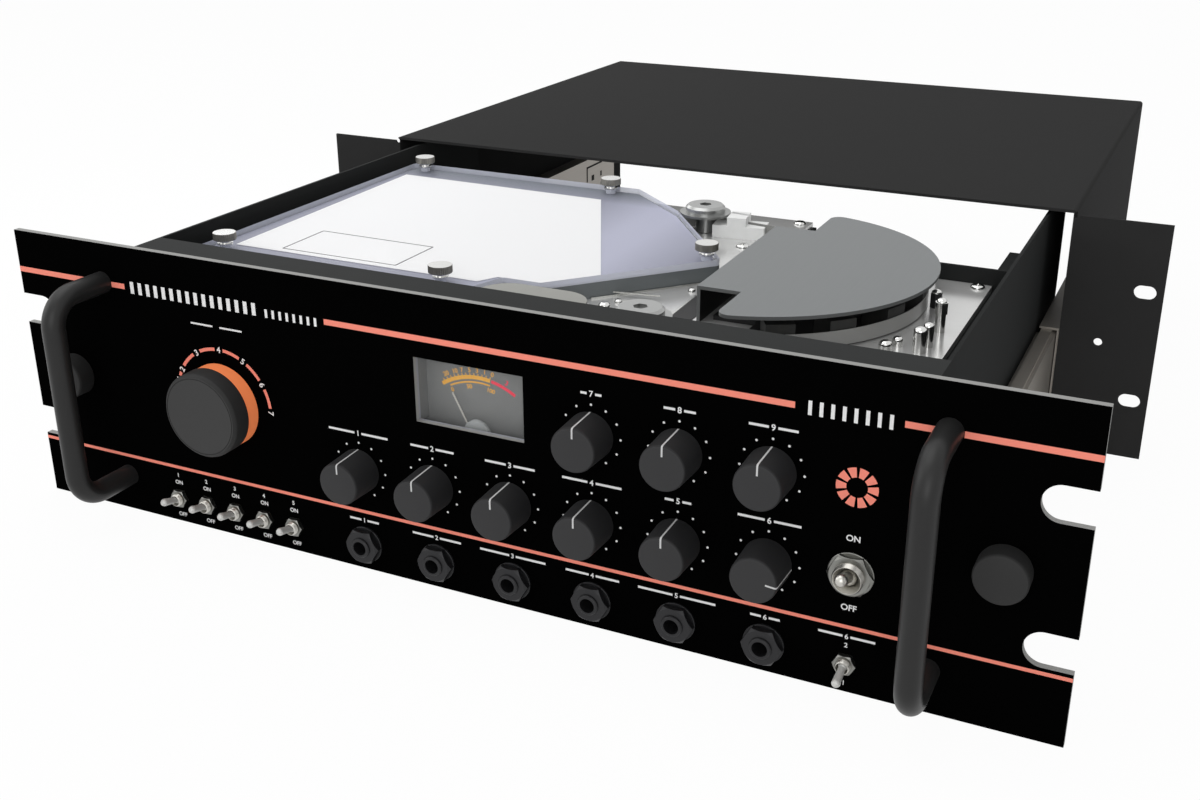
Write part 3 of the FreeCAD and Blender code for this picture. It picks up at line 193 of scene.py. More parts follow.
class Paint(Nodes):
    """One finish: a shader with constant settings, and varying values joined to some of them."""

    def __init__(self, name, colour, rough, metal=0.0, gloss=0.5, **more):
        self.name = name
        self.material = bpy.data.materials.new(name)
        self.material.use_nodes = True
        super().__init__(self.material.node_tree)
        self.shader = self.tree.nodes["Principled BSDF"]
        self.colour = colour
        self.rough = rough
        self.set("Base Color", colour)
        self.set("Roughness", rough)
        self.set("Metallic", metal)
        self.set("Specular IOR Level", gloss)
        for socket, value in more.items():
            self.set(socket.replace("_", " "), value)

    def set(self, socket, value):
        self.join(self.shader.inputs[socket], value)

    def point(self, stretch=(1.0, 1.0, 1.0)):
        """Object coordinates in millimetres, each axis stretched by the given amount."""
        place = self.node("TexCoord", output="Object")
        scale = tuple(s / MM for s in stretch)
        return self.node("VectorMath", {"operation": "MULTIPLY"}, {0: place, 1: scale})

    def facing(self, axis):
        """How squarely the surface faces along an axis: 1 facing it either way, 0 side on."""
        normal = self.node("NewGeometry", output="True Normal")
        return abs(self.node("SeparateXYZ", None, {0: normal}, output=axis))

    def along(self, axis):
        """One object coordinate in millimetres."""
        return self.node("SeparateXYZ", None, {0: self.point()}, output=axis)

    def noise(self, size, detail=2.0, stretch=(1.0, 1.0, 1.0)):
        """Soft noise from 0 to 1 whose spots are about size millimetres across."""
        inputs = {"Vector": self.point(stretch), "Scale": 1.0 / size, "Detail": detail}
        return self.node("TexNoise", None, inputs)

    def mix(self, factor, first, second):
        """Colour between two others, which the node takes at sockets 6 and 7."""
        inputs = {0: factor, 6: first, 7: second}
        return self.node("Mix", {"data_type": "RGBA"}, inputs, output=2)

    def bump(self, height, depth, strength=1.0):
        """Small relief: height from 0 to 1 over depth millimetres."""
        inputs = {"Height": height, "Distance": depth * MM, "Strength": strength}
        self.set("Normal", self.node("Bump", None, inputs))

    def tinted(self, noise, amount):
        """Let the colour wander a little with the noise."""
        dark = tuple(c * (1 - amount) for c in self.colour[:3]) + (1.0,)
        light = tuple(min(1.0, c * (1 + amount)) for c in self.colour[:3]) + (1.0,)
        self.set("Base Color", self.mix(noise, dark, light))

    def uneven(self, noise, amount):
        """Let the roughness wander a little with the noise."""
        self.set("Roughness", self.rough + (noise - 0.5) * amount)

    def mottled(self, noise, amount):
        """Let the colour and the roughness wander together."""
        self.tinted(noise, amount)
        self.uneven(noise, amount)
        return self

    def sprayed(self, noise):
        """Let the roughness wander, under a fine grain."""
        self.uneven(noise, 0.06)
        self.bump(self.noise(0.5), 0.03, 0.35)


def powder_coat(name, colour, rough=0.55, gloss=0.3):
    """Sprayed paint with a fine grain."""
    paint = Paint(name, colour, rough, gloss=gloss)
    patches = paint.noise(15.0)
    paint.tinted(patches, 0.06)
    paint.sprayed(patches)
    return paint


def brushed(name, colour, rough, metal, stretch):
    """Metal with fine streaks, long where the stretch is small."""
    paint = Paint(name, colour, rough, metal)
    streaks = paint.noise(0.8, 3.0, stretch)
    paint.mottled(streaks, 0.12)
    paint.bump(streaks, 0.01, 0.3)
    return paint


def moulded(name, colour, rough=0.45, gloss=0.4):
    """Plain moulded plastic or rubber."""
    paint = Paint(name, colour, rough, gloss=gloss)
    paint.mottled(paint.noise(6.0), 0.05)
    return paint


def see_through(name, colour, alpha, edge_alpha, rough, face=Z):
    """Clear sheet facing along one axis: mostly open, paler and denser at its cut edges."""
    paint = Paint(name, colour, rough, gloss=0.5)
    edge = (1 - paint.facing(face)).above(0.3)
    paint.set("Alpha", alpha + edge * (edge_alpha - alpha))
    paint.set("Base Color", paint.mix(edge, colour, shade(225, 228, 240)))
    return paint


# ---- finishes: the list
flange_back = 30.6  # panel face to the rear of the drawer's front flange
tank_rear = 228.0  # panel face to the outside of the tank's rear wall


def from_origin(axis, value):
    """Panel millimetres as along() gives them, counted from the rack frame's origin."""
    return panel_foot[axis] / MM + value


def panel_finish():
    """Black panel face; its cut edges are light grey."""
    paint = Paint("panel_black", shade(4), 0.45, gloss=0.0)
    edge = (1 - paint.facing(Y)).above(0.5)
    paint.set("Base Color", paint.mix(edge, paint.colour, shade(168, 168, 166)))
    paint.set("Roughness", paint.rough + paint.noise(12.0) * 0.05)
    return paint


def drawer_finish():
    """Sprayed paint; the up-facing top of the flange behind the panel is painted paler, as a
    painted sheen.
    """
    paint = Paint("drawer_paint", shade(44, 45, 45), 0.7, gloss=0.02)
    patches = paint.noise(15.0)
    paint.sprayed(patches)
    in_front = 1 - paint.along(Y).above(from_origin(Y, flange_back))
    # painted sheen: the flange's up-facing faces in front of flange_back take a paler grey
    flange = paint.facing(Z).above(0.9) * in_front
    plain = paint.mix(patches, shade(43, 44, 44), shade(46, 47, 47))
    paint.set("Base Color", paint.mix(flange, plain, shade(58, 59, 59)))
    return paint


def turned_steel(name, colour, rough):
    """Bright steel with fine lathe marks round it."""
    paint = Paint(name, colour, rough, 1.0)
    marks = paint.noise(0.5, 2.0, (0.3, 0.3, 2.0))
    paint.mottled(marks, 0.08)
    return paint


def head_cover_finish():
    """Brushed aluminium; the wall that drops to the deck under the tongue is painted near black as
    painted shade, and the faces that don't look up are painted darker as painted shade.
    """
    paint = Paint("cover_aluminium", shade(135, 138, 139), 0.5, 0.15)
    streaks = paint.noise(0.8, 3.0, (1.0, 0.03, 1.0))
    paint.uneven(streaks, 0.04)
    paint.bump(streaks, 0.01, 0.3)
    metal = paint.mix(streaks, shade(113, 116, 117), shade(121, 124, 125))
    wall_end = from_origin(X, Place("head_cover").left + 2.0)
    # painted shade: the wall facing along X under the tongue is painted near black
    wall = paint.facing(X).above(0.9) * (1 - paint.along(X).above(wall_end))
    # painted shade: faces that don't look up take a darker grey; bare carries that painted shade
    rim = (1 - paint.facing(Z)).above(0.5) * (1 - wall)
    bare = paint.mix(rim, metal, shade(96, 98, 98))
    paint.set("Base Color", paint.mix(wall, bare, shade(8)))
    return paint


def mirror_deck():
    """Polished deck sheet with faint lengthwise lines."""
    paint = Paint("deck_aluminium", shade(218, 218, 217), 0.2, 0.45)
    lines = paint.noise(1.2, 2.0, (0.03, 1.0, 1.0))
    paint.tinted(lines, 0.03)
    paint.set("Roughness", 0.15 + lines * 0.08)
    return paint


def tank_finish():
    """Smooth grey plastic of the tank's wall."""
    paint = Paint("tank_grey", shade(108, 113, 115), 0.25, gloss=0.6)
    return paint.mottled(paint.noise(18.0), 0.05)


def film_finish():
    """Bluish film, paler towards the middle of the tank; greyer at its rear edge, a painted dark
    reflection.
    """
    paint = Paint("tank_tint", shade(186, 188, 208), 0.45, gloss=0.2, Alpha=0.86)
    middle = paint.ramp(abs(paint.along(X)), 8.0, 45.0, 1.0, 0.0)
    rear_wall = from_origin(Y, tank_rear)
    # painted reflection: the film turns greyer over the last 25 mm before the tank's rear wall
    rear = paint.ramp(paint.along(Y), rear_wall - 25, rear_wall - 5)
    tint = paint.mix(middle, shade(154, 156, 173), shade(196, 198, 218))
    paint.set("Base Color", paint.mix(rear, tint, shade(126, 131, 140)))
    return paint


def wound_core():
    """Toroidal transformer: taped windings that run over the ring."""
    paint = Paint("transformer_core", shade(58, 52, 44), 0.4)
    bands = (paint.noise(1.2, 1.0, (1.0, 1.0, 0.1)) - 0.5) * 1.2 + 0.5
    paint.set("Base Color", paint.mix(bands, shade(38, 34, 30), shade(96, 74, 44)))
    paint.bump(bands, 0.2, 0.6)
    return paint


def knob_finish(name, face, side):
    """Moulded knob; its side is painted darker than its front, as painted shade."""
    paint = Paint(name, face, 0.6, gloss=0.2)
    # painted shade: faces that don't look forwards take the darker side colour
    paint.set("Base Color", paint.mix(paint.facing(Y).above(0.8), side, face))
    paint.set("Roughness", 0.57 + paint.noise(3.0) * 0.06)
    paint.bump(paint.noise(0.5), 0.02, 0.3)
    return paint


def circuit_green():
    """Board laminate with faint tracks."""
    paint = Paint("board_green", shade(24, 70, 44), 0.4)
    tracks = (paint.along(X) * 1.3).wave() * (paint.along(Y) * 0.9).wave()
    paint.set("Base Color", paint.mix(tracks.above(0.55), shade(20, 62, 40), shade(46, 96, 62)))
    return paint


finishes = {paint.name: paint.material for paint in (
    powder_coat("sleeve_paint", shade(52), 0.75, 0.01),
    drawer_finish(),
    brushed("slide_steel", shade(160, 155, 148), 0.42, 0.6, (1.0, 0.01, 1.0)),
    panel_finish(),
    moulded("grip_black", shade(34), 0.42, 0.28),
    knob_finish("thumb_black", shade(46), shade(32)),
    knob_finish("knob_black", shade(52, 52, 53), shade(38, 38, 39)),
    knob_finish("knob_dark", shade(60), shade(44)),
    Paint("control_metal", shade(165, 165, 160), 0.38, 1.0),
    Paint("switch_nickel", shade(196, 194, 188), 0.36, 1.0),
    moulded("meter_plastic", shade(26)),
    see_through("clear_plastic", shade(214, 216, 236), 0.04, 0.8, 0.05),
    Paint("needle_grey", shade(205, 203, 196), 0.5),
    mirror_deck(),
    head_cover_finish(),
    Paint("polished_steel", shade(212, 212, 210), 0.14, 1.0),
    turned_steel("roller_steel", shade(160, 161, 160), 0.3),
    tank_finish(),
    Paint("tape_brown", shade(156, 156, 154), 0.3, gloss=0.6),
    powder_coat("head_base_black", shade(34, 34, 35)),
    brushed("head_metal", shade(64, 64, 63), 0.4, 0.6, (1.0, 1.0, 0.05)),
    powder_coat("capstan_cover_paint", shade(152, 152, 147), 0.5),
    moulded("white_plastic", shade(246, 247, 246), 0.3),
    moulded("rubber_black", shade(26), 0.7, 0.2),
    turned_steel("pulley_brass", shade(200, 168, 96), 0.28),
    circuit_green(),
    wound_core(),
    Paint("ink_white", shade(238), 0.6, gloss=0.1),
    Paint("ink_coral", shade(252, 147, 128), 0.6, gloss=0.1),
    Paint("pointer_grey", shade(205), 0.5, gloss=0.2),
    # the orange skirt glows weakly: painted light that keeps its colour bright on its shaded side
    Paint("skirt_orange", shade(252, 146, 90), 0.5, gloss=0.3,
          Emission_Color=shade(245, 130, 78), Emission_Strength=0.26),
    Paint("nut_dark", shade(36, 36, 38), 0.42, 0.5),
    Paint("nut_nickel", shade(132, 132, 128), 0.35, 1.0),
    Paint("lever_satin", shade(206, 206, 203), 0.45, 0.25),
    Paint("slot_dark", shade(14), 0.7, gloss=0.1),
    Paint("wall_bright", shade(214, 214, 210), 0.25, 1.0),
    see_through("meter_glass", shade(225, 228, 230), 0.03, 0.5, 0.04, face=Y),
    moulded("scale_grey", shade(122, 123, 122), 0.6),
    Paint("scale_yellow", shade(250, 184, 62), 0.6),
    Paint("scale_red", shade(255, 52, 82), 0.6),
    Paint("frosted_cover", shade(200, 204, 204), 0.25, Alpha=0.55),
    Paint("liner_white", shade(253), 0.6, gloss=0.2),
    Paint("line_dark", shade(24), 0.6),
    Paint("screw_side", shade(134, 132, 126), 0.4, 0.8),
    film_finish(),
)}

small_levers = ["toggle_lever_%d" % n for n in range(1, 6)] + ["level_lever"]

for node in frame["nodes"].values():
    for slot in node.material_slots:
        slot.material = finishes[slot.material.name.split(".")[0]]
frame["nodes"]["meter_window"].material_slots[0].material = finishes["meter_glass"]
for lever in small_levers:
    frame["nodes"][lever].material_slots[0].material = finishes["lever_satin"]


# ---- modelling tools
def only(piece):
    """Make one piece the selected and active one."""
    bpy.ops.object.select_all(action="DESELECT")
    piece.select_set(True)
    bpy.context.view_layer.objects.active = piece


def settle(piece):
    """Put the piece's place and turn into its mesh."""
    only(piece)
    bpy.ops.object.transform_apply(location=True, rotation=True, scale=True)
    return piece


def newest(name):
    piece = bpy.context.active_object
    piece.name = name
    piece.data.name = name
    return piece


def mode(name):
    """Go to edit mode or back to object mode."""
    bpy.ops.object.mode_set(mode=name)


def edit_all():
    """Open the active piece in edit mode, with all of it selected."""
    mode("EDIT")
    bpy.ops.mesh.select_all(action="SELECT")


def face_outwards():
    """Turn all faces of the piece outwards, and leave edit mode."""
    bpy.ops.mesh.select_all(action="SELECT")
    bpy.ops.mesh.normals_make_consistent(inside=False)
    mode("OBJECT")


AXIS_TURN = {"Y": (math.pi / 2, 0.0, 0.0), "Z": (0.0, 0.0, 0.0)}
AXIS_WAY = {"Y": Vector((0.0, -1.0, 0.0)), "Z": Vector((0.0, 0.0, 1.0))}


def turned(name, foot, axis, profile, sides=48, spin=0.0):
    """Solid turned on a lathe, forwards along -Y or up Z.

    Its profile is a row of (distance, radius), the distance counted from the foot.
    """
    way = AXIS_WAY[axis]
    start, radius = profile[0]
    centre = at(*foot) + way * start * MM
    bpy.ops.mesh.primitive_circle_add(vertices=sides, radius=radius * MM, fill_type="NGON",
                                      location=centre, rotation=AXIS_TURN[axis])
    piece = newest(name)
    if spin:
        piece.rotation_euler.rotate(Matrix.Rotation(math.radians(spin), 3, way))
    settle(piece)
    edit_all()
    for distance, next_radius in profile[1:]:
        step = way * (distance - start) * MM
        centre = centre + step
        bpy.ops.mesh.extrude_region_move(TRANSFORM_OT_translate={"value": step})
        size = next_radius / radius
        bpy.ops.transform.resize(value=(size, size, size), center_override=centre)
        start, radius = distance, next_radius
    face_outwards()
    return piece


def block(name, x0, x1, y0, y1, z0, z1, bevel=0.0):
    """Block between two corners, its edges broken by a small bevel."""
    bpy.ops.mesh.primitive_cube_add(size=1.0,
                                    location=at((x0 + x1) / 2, (y0 + y1) / 2, (z0 + z1) / 2),
                                    scale=((x1 - x0) * MM, (y1 - y0) * MM, (z1 - z0) * MM))
    piece = settle(newest(name))
    if bevel:
        soften(piece, bevel)
    return piece


def soften(piece, width):
    """Round the piece's sharp edges."""
    only(piece)
    edge = piece.modifiers.new("soft", "BEVEL")
    edge.width = width * MM
    edge.segments = 2
    edge.limit_method = "ANGLE"
    edge.angle_limit = math.radians(40.0)
    bpy.ops.object.modifier_apply(modifier="soft")


def carve(piece, tool, operation="DIFFERENCE"):
    """Cut the tool out of the piece, or keep only what both share."""
    only(piece)
    cut = piece.modifiers.new("cut", "BOOLEAN")
    cut.operation = operation
    cut.object = tool
    bpy.ops.object.modifier_apply(modifier="cut")
    bpy.data.objects.remove(tool)
    return piece


def coat(piece, material):
    """Add one of the finishes to the piece."""
    piece.data.materials.append(finishes[material])


def paint_faces(piece, material, wanted):
    """Give the faces for which wanted(centre in panel millimetres, normal) is true a finish."""
    coat(piece, material)
    index = len(piece.data.materials) - 1
    for face in piece.data.polygons:
        if wanted((face.center - panel_foot) / MM, face.normal):
            face.material_index = index


def slice_at(piece, point, normal):
    """Cut an edge loop through the piece along a plane, taking nothing away."""
    only(piece)
    edit_all()
    bpy.ops.mesh.bisect(plane_co=point, plane_no=normal)
    mode("OBJECT")


def copy_of(piece, name, shift=(0, 0, 0), turn=0.0, about=(0, 0, 0), axis="Y"):
    """Own-mesh copy, turned about a point (clockwise seen from the front), and then shifted."""
    made = piece.copy()
    made.data = piece.data.copy()
    made.name = name
    made.data.name = name
    bpy.context.scene.collection.objects.link(made)
    pivot = at(*about)
    turning = Matrix.Rotation(math.radians(turn), 4, axis)
    made.matrix_world = (Matrix.Translation(Vector(shift) * MM) @ Matrix.Translation(pivot)
                         @ turning @ Matrix.Translation(-pivot))
    return settle(made)


def flat_plate(name, corners, z0, z1):
    """Flat plate with straight edges, from its outline seen from above."""
    bpy.ops.mesh.primitive_circle_add(vertices=len(corners), radius=MM, fill_type="NGON",
                                      location=(0, 0, 0))
    piece = newest(name)
    for vertex, (x, y) in zip(piece.data.vertices, corners):
        vertex.co = at(x, y, z0)
    only(piece)
    edit_all()
    bpy.ops.mesh.extrude_region_move(TRANSFORM_OT_translate={"value": (0.0, 0.0, (z1 - z0) * MM)})
    face_outwards()
    return piece


def strip(name, start, end, width, z0, z1):
    """Straight bar between two points seen from above."""
    length = math.hypot(end[0] - start[0], end[1] - start[1])
    bar = block("bar", -length / 2, length / 2, -width / 2, width / 2, z0, z1)
    turn = math.degrees(math.atan2(end[1] - start[1], end[0] - start[0]))
    middle = ((start[0] + end[0]) / 2, (start[1] + end[1]) / 2, 0)
    made = copy_of(bar, name, middle, turn, axis="Z")
    bpy.data.objects.remove(bar)
    return made


def solid_centres(node):
    """Centres of a CAD node's separate solids seen from above, from left to right."""
    copied = frame["nodes"][node].copy()
    copied.data = copied.data.copy()
    bpy.context.scene.collection.objects.link(copied)
    only(copied)
    edit_all()
    bpy.ops.mesh.remove_doubles(threshold=1e-6)
    bpy.ops.mesh.separate(type="LOOSE")
    mode("OBJECT")
    places = []
    for piece in list(bpy.context.selected_objects):
        corners = [(piece.matrix_world @ v.co - panel_foot) / MM for v in piece.data.vertices]
        low = Vector(min(c[i] for c in corners) for i in range(3))
        high = Vector(max(c[i] for c in corners) for i in range(3))
        places.append((low, high))
        bpy.data.objects.remove(piece)
    places.sort(key=lambda ends: tuple(round(v, 3) for v in ends[0]))
    return [((low.x + high.x) / 2, (low.y + high.y) / 2) for low, high in places]


def joined(name, pieces):
    """One piece from several."""
    bpy.ops.object.select_all(action="DESELECT")
    for piece in pieces:
        piece.select_set(True)
    bpy.context.view_layer.objects.active = pieces[0]
    bpy.ops.object.join()
    return newest(name)


def finish(piece, body, material, replaces=(), smooth=35.0):
    """Give the piece its finish, shading, body and the CAD nodes it replaces."""
    only(piece)
    if not piece.data.materials:
        coat(piece, material)
    bpy.ops.object.shade_smooth_by_angle(angle=math.radians(smooth))
    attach(piece, body)
    if replaces:
        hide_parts(*replaces)
    return piece


def on_drawer(name, pieces, material):
    """Join pieces into one that belongs to the drawer."""
    finish(joined(name, pieces), "drawer", material)


def repeat(first, name, shifts, replaced, smooth=35.0):
    """Put numbered copies of a piece on the drawer, and take the first one away."""
    for n, shift in enumerate(shifts, 1):
        piece = copy_of(first, "%s_%d" % (name, n), shift)
        finish(piece, "drawer", None, [replaced], smooth)
    bpy.data.objects.remove(first)


# ---- printed marks
ink = 0.06  # thickness of printed marks
capital = 0.69  # height of a capital, for a text size of 1
stroke = 0.03  # how far the strokes are thickened, for a capital's height of 1


def mark(name, x0, x1, z0, z1, y=0.0):
    """Printed rectangle on a face that looks forwards."""
    return block(name, x0, x1, y - ink, y, z0, z1)


def dot(name, x, z, r):
    """Printed round dot."""
    return turned(name, (x, 0, z), "Y", [(0.0, r), (ink, r)], 16)


def arc_band(name, x, z, r0, r1, start, end, y=0.0, steps=12):
    """Printed arc between two radii; angles run clockwise from straight up.

    A square squashed to a line between the radii is spun about the centre.
    """
    bpy.ops.mesh.primitive_plane_add(size=1.0, location=(0, 0, 0))
    piece = newest(name)
    piece.scale = (0.0, (r1 - r0) * MM, 1.0)
    settle(piece)
    piece.rotation_euler = (math.pi / 2, 0.0, 0.0)
    piece.location = (0.0, 0.0, (r0 + r1) / 2 * MM)
    settle(piece)
    piece.rotation_euler = (0.0, math.radians(start), 0.0)
    piece.location = at(x, y - ink, z)
    settle(piece)
    edit_all()
    bpy.ops.mesh.remove_doubles(threshold=1e-7)
    bpy.ops.mesh.select_all(action="SELECT")
    bpy.ops.mesh.spin(steps=steps, angle=-math.radians(end - start), center=at(x, y - ink, z),
                      axis=(0, 1, 0))
    bpy.ops.mesh.select_all(action="SELECT")
    bpy.ops.mesh.extrude_region_move(TRANSFORM_OT_translate={"value": (0.0, ink * MM, 0.0)})
    face_outwards()
    return piece


def lettering(name, text, x, z, height, y=0.0, turn=0.0):
    """Printed figures, centred, with the given height of a capital."""
    bpy.ops.object.text_add(location=(0, 0, 0))
    words = bpy.context.active_object
    words.data.body = text
    words.data.align_x = "CENTER"
    words.data.size = height * MM / capital
    words.data.offset = stroke * MM * height
    words.data.extrude = ink * MM / 2
    bpy.ops.object.convert(target="MESH")
    piece = newest(name)
    low = min(v.co.y for v in piece.data.vertices)
    high = max(v.co.y for v in piece.data.vertices)
    piece.location = (0.0, -(low + high) / 2, 0.0)
    settle(piece)
    piece.rotation_euler = (math.pi / 2, 0.0, 0.0)
    settle(piece)
    piece.rotation_euler = (0.0, math.radians(turn), 0.0)
    piece.location = at(x, y - ink / 2, z)
    return settle(piece)


def around(x, z, r, angle):
    """Point on a circle, its angle clockwise from straight up."""
    a = math.radians(angle)
    return x + r * math.sin(a), z + r * math.cos(a)


# ---- the panel's print
knob_nodes = ["%s_knob_%d" % (row, n) for row in ("input", "mix", "tone") for n in (1, 2, 3)]
knob_at = {node: Place(node) for node in knob_nodes}
mode_at = Place("mode_knob")
lever_at = {node: Place(node) for node in small_levers + ["power_lever"]}
jack_z = Place("jack_sockets").z
jack_columns = [knob_at[node].x for node in knob_nodes[:6]]
switch_z = jack_z
power_z = 51.0
panel_end = 241.3  # panel's centre to each of its ends
figure_height = 1.9  # small figures, at the levers and on the meter


def stripes():
    """Coral lines across the panel, open round the grips' feet and where a heading would be."""
    upper = [(-panel_end, -195.7), (-185.5, -177.9), (-69.5, 135.4), (175.2, 185.5),
             (195.7, panel_end)]
    lines = [mark("stripe", x0, x1, 112.6, 115.1) for x0, x1 in upper]
    lines.append(mark("stripe", -panel_end, panel_end, 27.55, 29.05))
    on_drawer("panel_stripes", lines, "ink_coral")


def tick_row(x0, x1, z, height, pitch, width):
    """Row of plain upright ticks."""
    count = int((x1 - x0) / pitch)
    step = (x1 - x0) / count
    return [mark("tick", x0 + step * i - width / 2, x0 + step * i + width / 2,
                 z - height / 2, z + height / 2) for i in range(count + 1)]


def heading_ticks():
    """Plain ticks in the gaps of the upper stripe."""
    ticks = tick_row(-173.5, -106.0, 113.9, height=5.6, pitch=4.5, width=2.0)
    ticks += tick_row(-99.5, -74.0, 112.9, height=3.8, pitch=3.2, width=1.3)
    ticks += tick_row(141.0, 170.5, 113.7, height=5.6, pitch=3.7, width=1.4)
    on_drawer("heading_ticks", ticks, "ink_white")


def ring_ticks():
    """Plain coral ring over the power switch, broken into ten short arcs."""
    inner, outer, turn = 4.0, 7.9, 36
    arcs = [arc_band("arc", 160.0, 86.1, inner, outer, turn * i + 5, turn * i + 31, steps=6)
            for i in range(10)]
    on_drawer("ring_ticks", arcs, "ink_coral")


def numbered_bar(number, x, z, height, width):
    """A plain number between two dashes, as wide as the caption of that control."""
    half = 0.75 * height
    pieces = [lettering("figure", str(number), x, z, height)]
    if width / 2 > half + 1:
        for sign in (-1, 1):
            ends = sorted((x + sign * half, x + sign * width / 2))
            pieces.append(mark("dash", *ends, z - 0.5, z + 0.5))
    return pieces


def captions():
    """Numbers and dashes over the controls, and ON and OFF at the switches."""
    over_knob, over_jack, over_switch = 17.1, 11.5, 11.6
    knob_widths = (30, 21, 23, 26, 11, 25, 9, 13, 19)
    jack_widths = (15, 24, 31, 24, 33, 12)
    marks = []
    for n, (place, width) in enumerate(zip(knob_at.values(), knob_widths), 1):
        marks += numbered_bar(n, place.x, place.z + over_knob, 2.4, width)
    for n, (x, width) in enumerate(zip(jack_columns, jack_widths), 1):
        marks += numbered_bar(n, x, jack_z + over_jack, 2.1, width)
    for sign in (-1, 1):
        ends = sorted((mode_at.x + sign * 2, mode_at.x + sign * 14))
        marks.append(mark("dash", *ends, 102.0, 102.8))
    for n, node in enumerate(small_levers, 1):
        x, texts = lever_at[node].x, ("ON", "OFF")
        if node == "level_lever":
            marks += numbered_bar(n, x, switch_z + over_switch, 2.0, 22)
            texts = ("2", "1")
        else:
            marks.append(lettering("figure", str(n), x, switch_z + over_switch, figure_height))
        for text, lift in zip(texts, (7.9, -8.7)):
            marks.append(lettering("figure", text, x, switch_z + lift, figure_height))
    for text, z in (("ON", 65.5), ("OFF", 36.6)):
        marks.append(lettering("figure", text, lever_at["power_lever"].x, z, 2.4))
    on_drawer("captions", marks, "ink_white")


def knob_dots():
    """Eleven dots round each small knob."""
    ring, dot_r = 12.6, 0.5
    dots = [dot("dot", *around(place.x, place.z, ring, 30 * i - 150), dot_r)
            for place in knob_at.values() for i in range(11)]
    on_drawer("knob_dots", dots, "ink_white")


def mode_scale():
    """Numbered arc round the selector knob."""
    x, z, r, half = mode_at.x, mode_at.z, 25.6, 0.75
    angles = (-72, -60, -30, 0, 30, 60, 90)
    figures = [lettering("figure", str(n), *around(x, z, r, a), 2.7, turn=a)
               for n, a in enumerate(angles, 1)]
    on_drawer("mode_numbers", figures, "ink_white")
    bands = [arc_band("band", x, z, r - half, r + half, a + 5, b - 5)
             for a, b in zip(angles[1:], angles[2:])]
    bands.append(arc_band("band", x, z, r - half, r + half, -68.5, -64, steps=3))
    on_drawer("mode_arc", bands, "ink_coral")


# ---- knobs and screws on the panel
panel_back = 3.0  # panel face to its back
knob_foot = 0.6  # panel face to the knobs' rims
shaft = 3.0  # radius of the shafts behind the knobs
shaft_end = 7.2  # panel face to the end of a shaft, inside its knob


def small_knobs():
    """Nine knobs with a line down the side and onto the front."""
    first = knob_at["input_knob_1"]
    x, z, height = first.x, first.z, -first.front
    rim = first.width / 2
    line_half, line_foot = 0.36, 4.9
    profile = [(-first.back, shaft), (shaft_end, shaft), (shaft_end, rim - 2.2),
               (knob_foot, rim - 2.2), (knob_foot, rim - 0.2), (knob_foot + 0.2, rim),
               (height - 1.1, rim - 0.47), (height - 0.5, rim - 0.62),
               (height - 0.12, rim - 0.98), (height, rim - 1.5)]
    knob = turned("knob", (x, 0, z), "Y", profile, 72)
    for offset in (-line_half, line_half):
        slice_at(knob, at(x + offset, 0, z), (1, 0, 0))
    slice_at(knob, at(x, 0, z + line_foot), (0, 0, 1))
    coat(knob, "knob_black")

    def on_line(centre, normal):
        """On the front the line starts at its foot; further back only the outside has it."""
        lowest = rim - 1 if centre.y > -8 else line_foot
        within = abs(centre.x - x) < line_half and centre.z - z > lowest
        return within and -height - 0.1 < centre.y < -knob_foot

    paint_faces(knob, "pointer_grey", on_line)
    turns = {"mix_knob_3": 96.0}
    for node, place in knob_at.items():
        shift = (place.x - x, 0.0, place.z - z)
        piece = copy_of(knob, node + "_body", shift, turns.get(node, 0.0), (x, 0.0, z))
        finish(piece, node, None, [node])
    bpy.data.objects.remove(knob)


def selector_knob():
    """Large knob: orange skirt, dark cap with a bevel and a groove near its rim."""
    x, z, height, rim = mode_at.x, mode_at.z, -mode_at.front, mode_at.width / 2
    skirt, line_half, hollow = 7.4, 0.6, 9.85
    face = height - 0.05
    profile = [(-mode_at.back, shaft), (shaft_end, shaft), (shaft_end, hollow), (knob_foot, hollow),
               (knob_foot, rim - 0.5), (knob_foot + 0.2, rim - 0.3), (skirt, rim - 0.3),
               (skirt, rim - 0.15), (skirt + 0.15, rim), (height - 1.7, rim),
               (height - 1.2, rim - 0.15), (height - 0.3, rim - 1.0), (face, rim - 1.3),
               (face, 17.85), (height - 0.3, 17.7), (height - 0.3, 17.5), (face, 17.35),
               (height - 0.02, 16.8)]
    knob = turned("mode_knob_body", (x, 0, z), "Y", profile, 96)
    for offset in (-line_half, line_half):
        slice_at(knob, at(x, 0, z + offset), (0, 0, 1))
    coat(knob, "knob_dark")

    def on_skirt(centre, normal):
        outside = math.hypot(centre.x - x, centre.z - z) > rim - 0.8
        return outside and -skirt < centre.y < -knob_foot

    def on_line(centre, normal):
        return abs(centre.z - z) < line_half and centre.x < x - rim + 0.6 and centre.y < -skirt

    paint_faces(knob, "skirt_orange", on_skirt)
    paint_faces(knob, "pointer_grey", on_line)
    finish(knob, "mode_knob", None, ["mode_knob"])


def panel_screws():
    """The two plain thumb screws at the panel's ends."""
    for side in ("left", "right"):
        node = "lock_screw_" + side
        place = Place(node)
        r, height = place.width / 2, -place.front
        profile = [(-place.back, 1.4), (-place.back + 0.6, 2.0), (0.3, 2.0), (0.3, r - 0.2),
                   (0.5, r), (height - 1.1, r), (height - 0.7, r - 0.15), (height - 0.2, r - 0.55),
                   (height, r - 1.0)]
        screw = turned(node + "_body", (place.x, 0, place.z), "Y", profile, 72)
        finish(screw, node, "thumb_black", [node])


def bored(piece, x, z, back, front, r, sides=40):
    """The piece with a round hole along Y, from back to front as a profile counts them."""
    return carve(piece, turned("hole", (x, 0, z), "Y", [(back, r), (front, r)], sides))


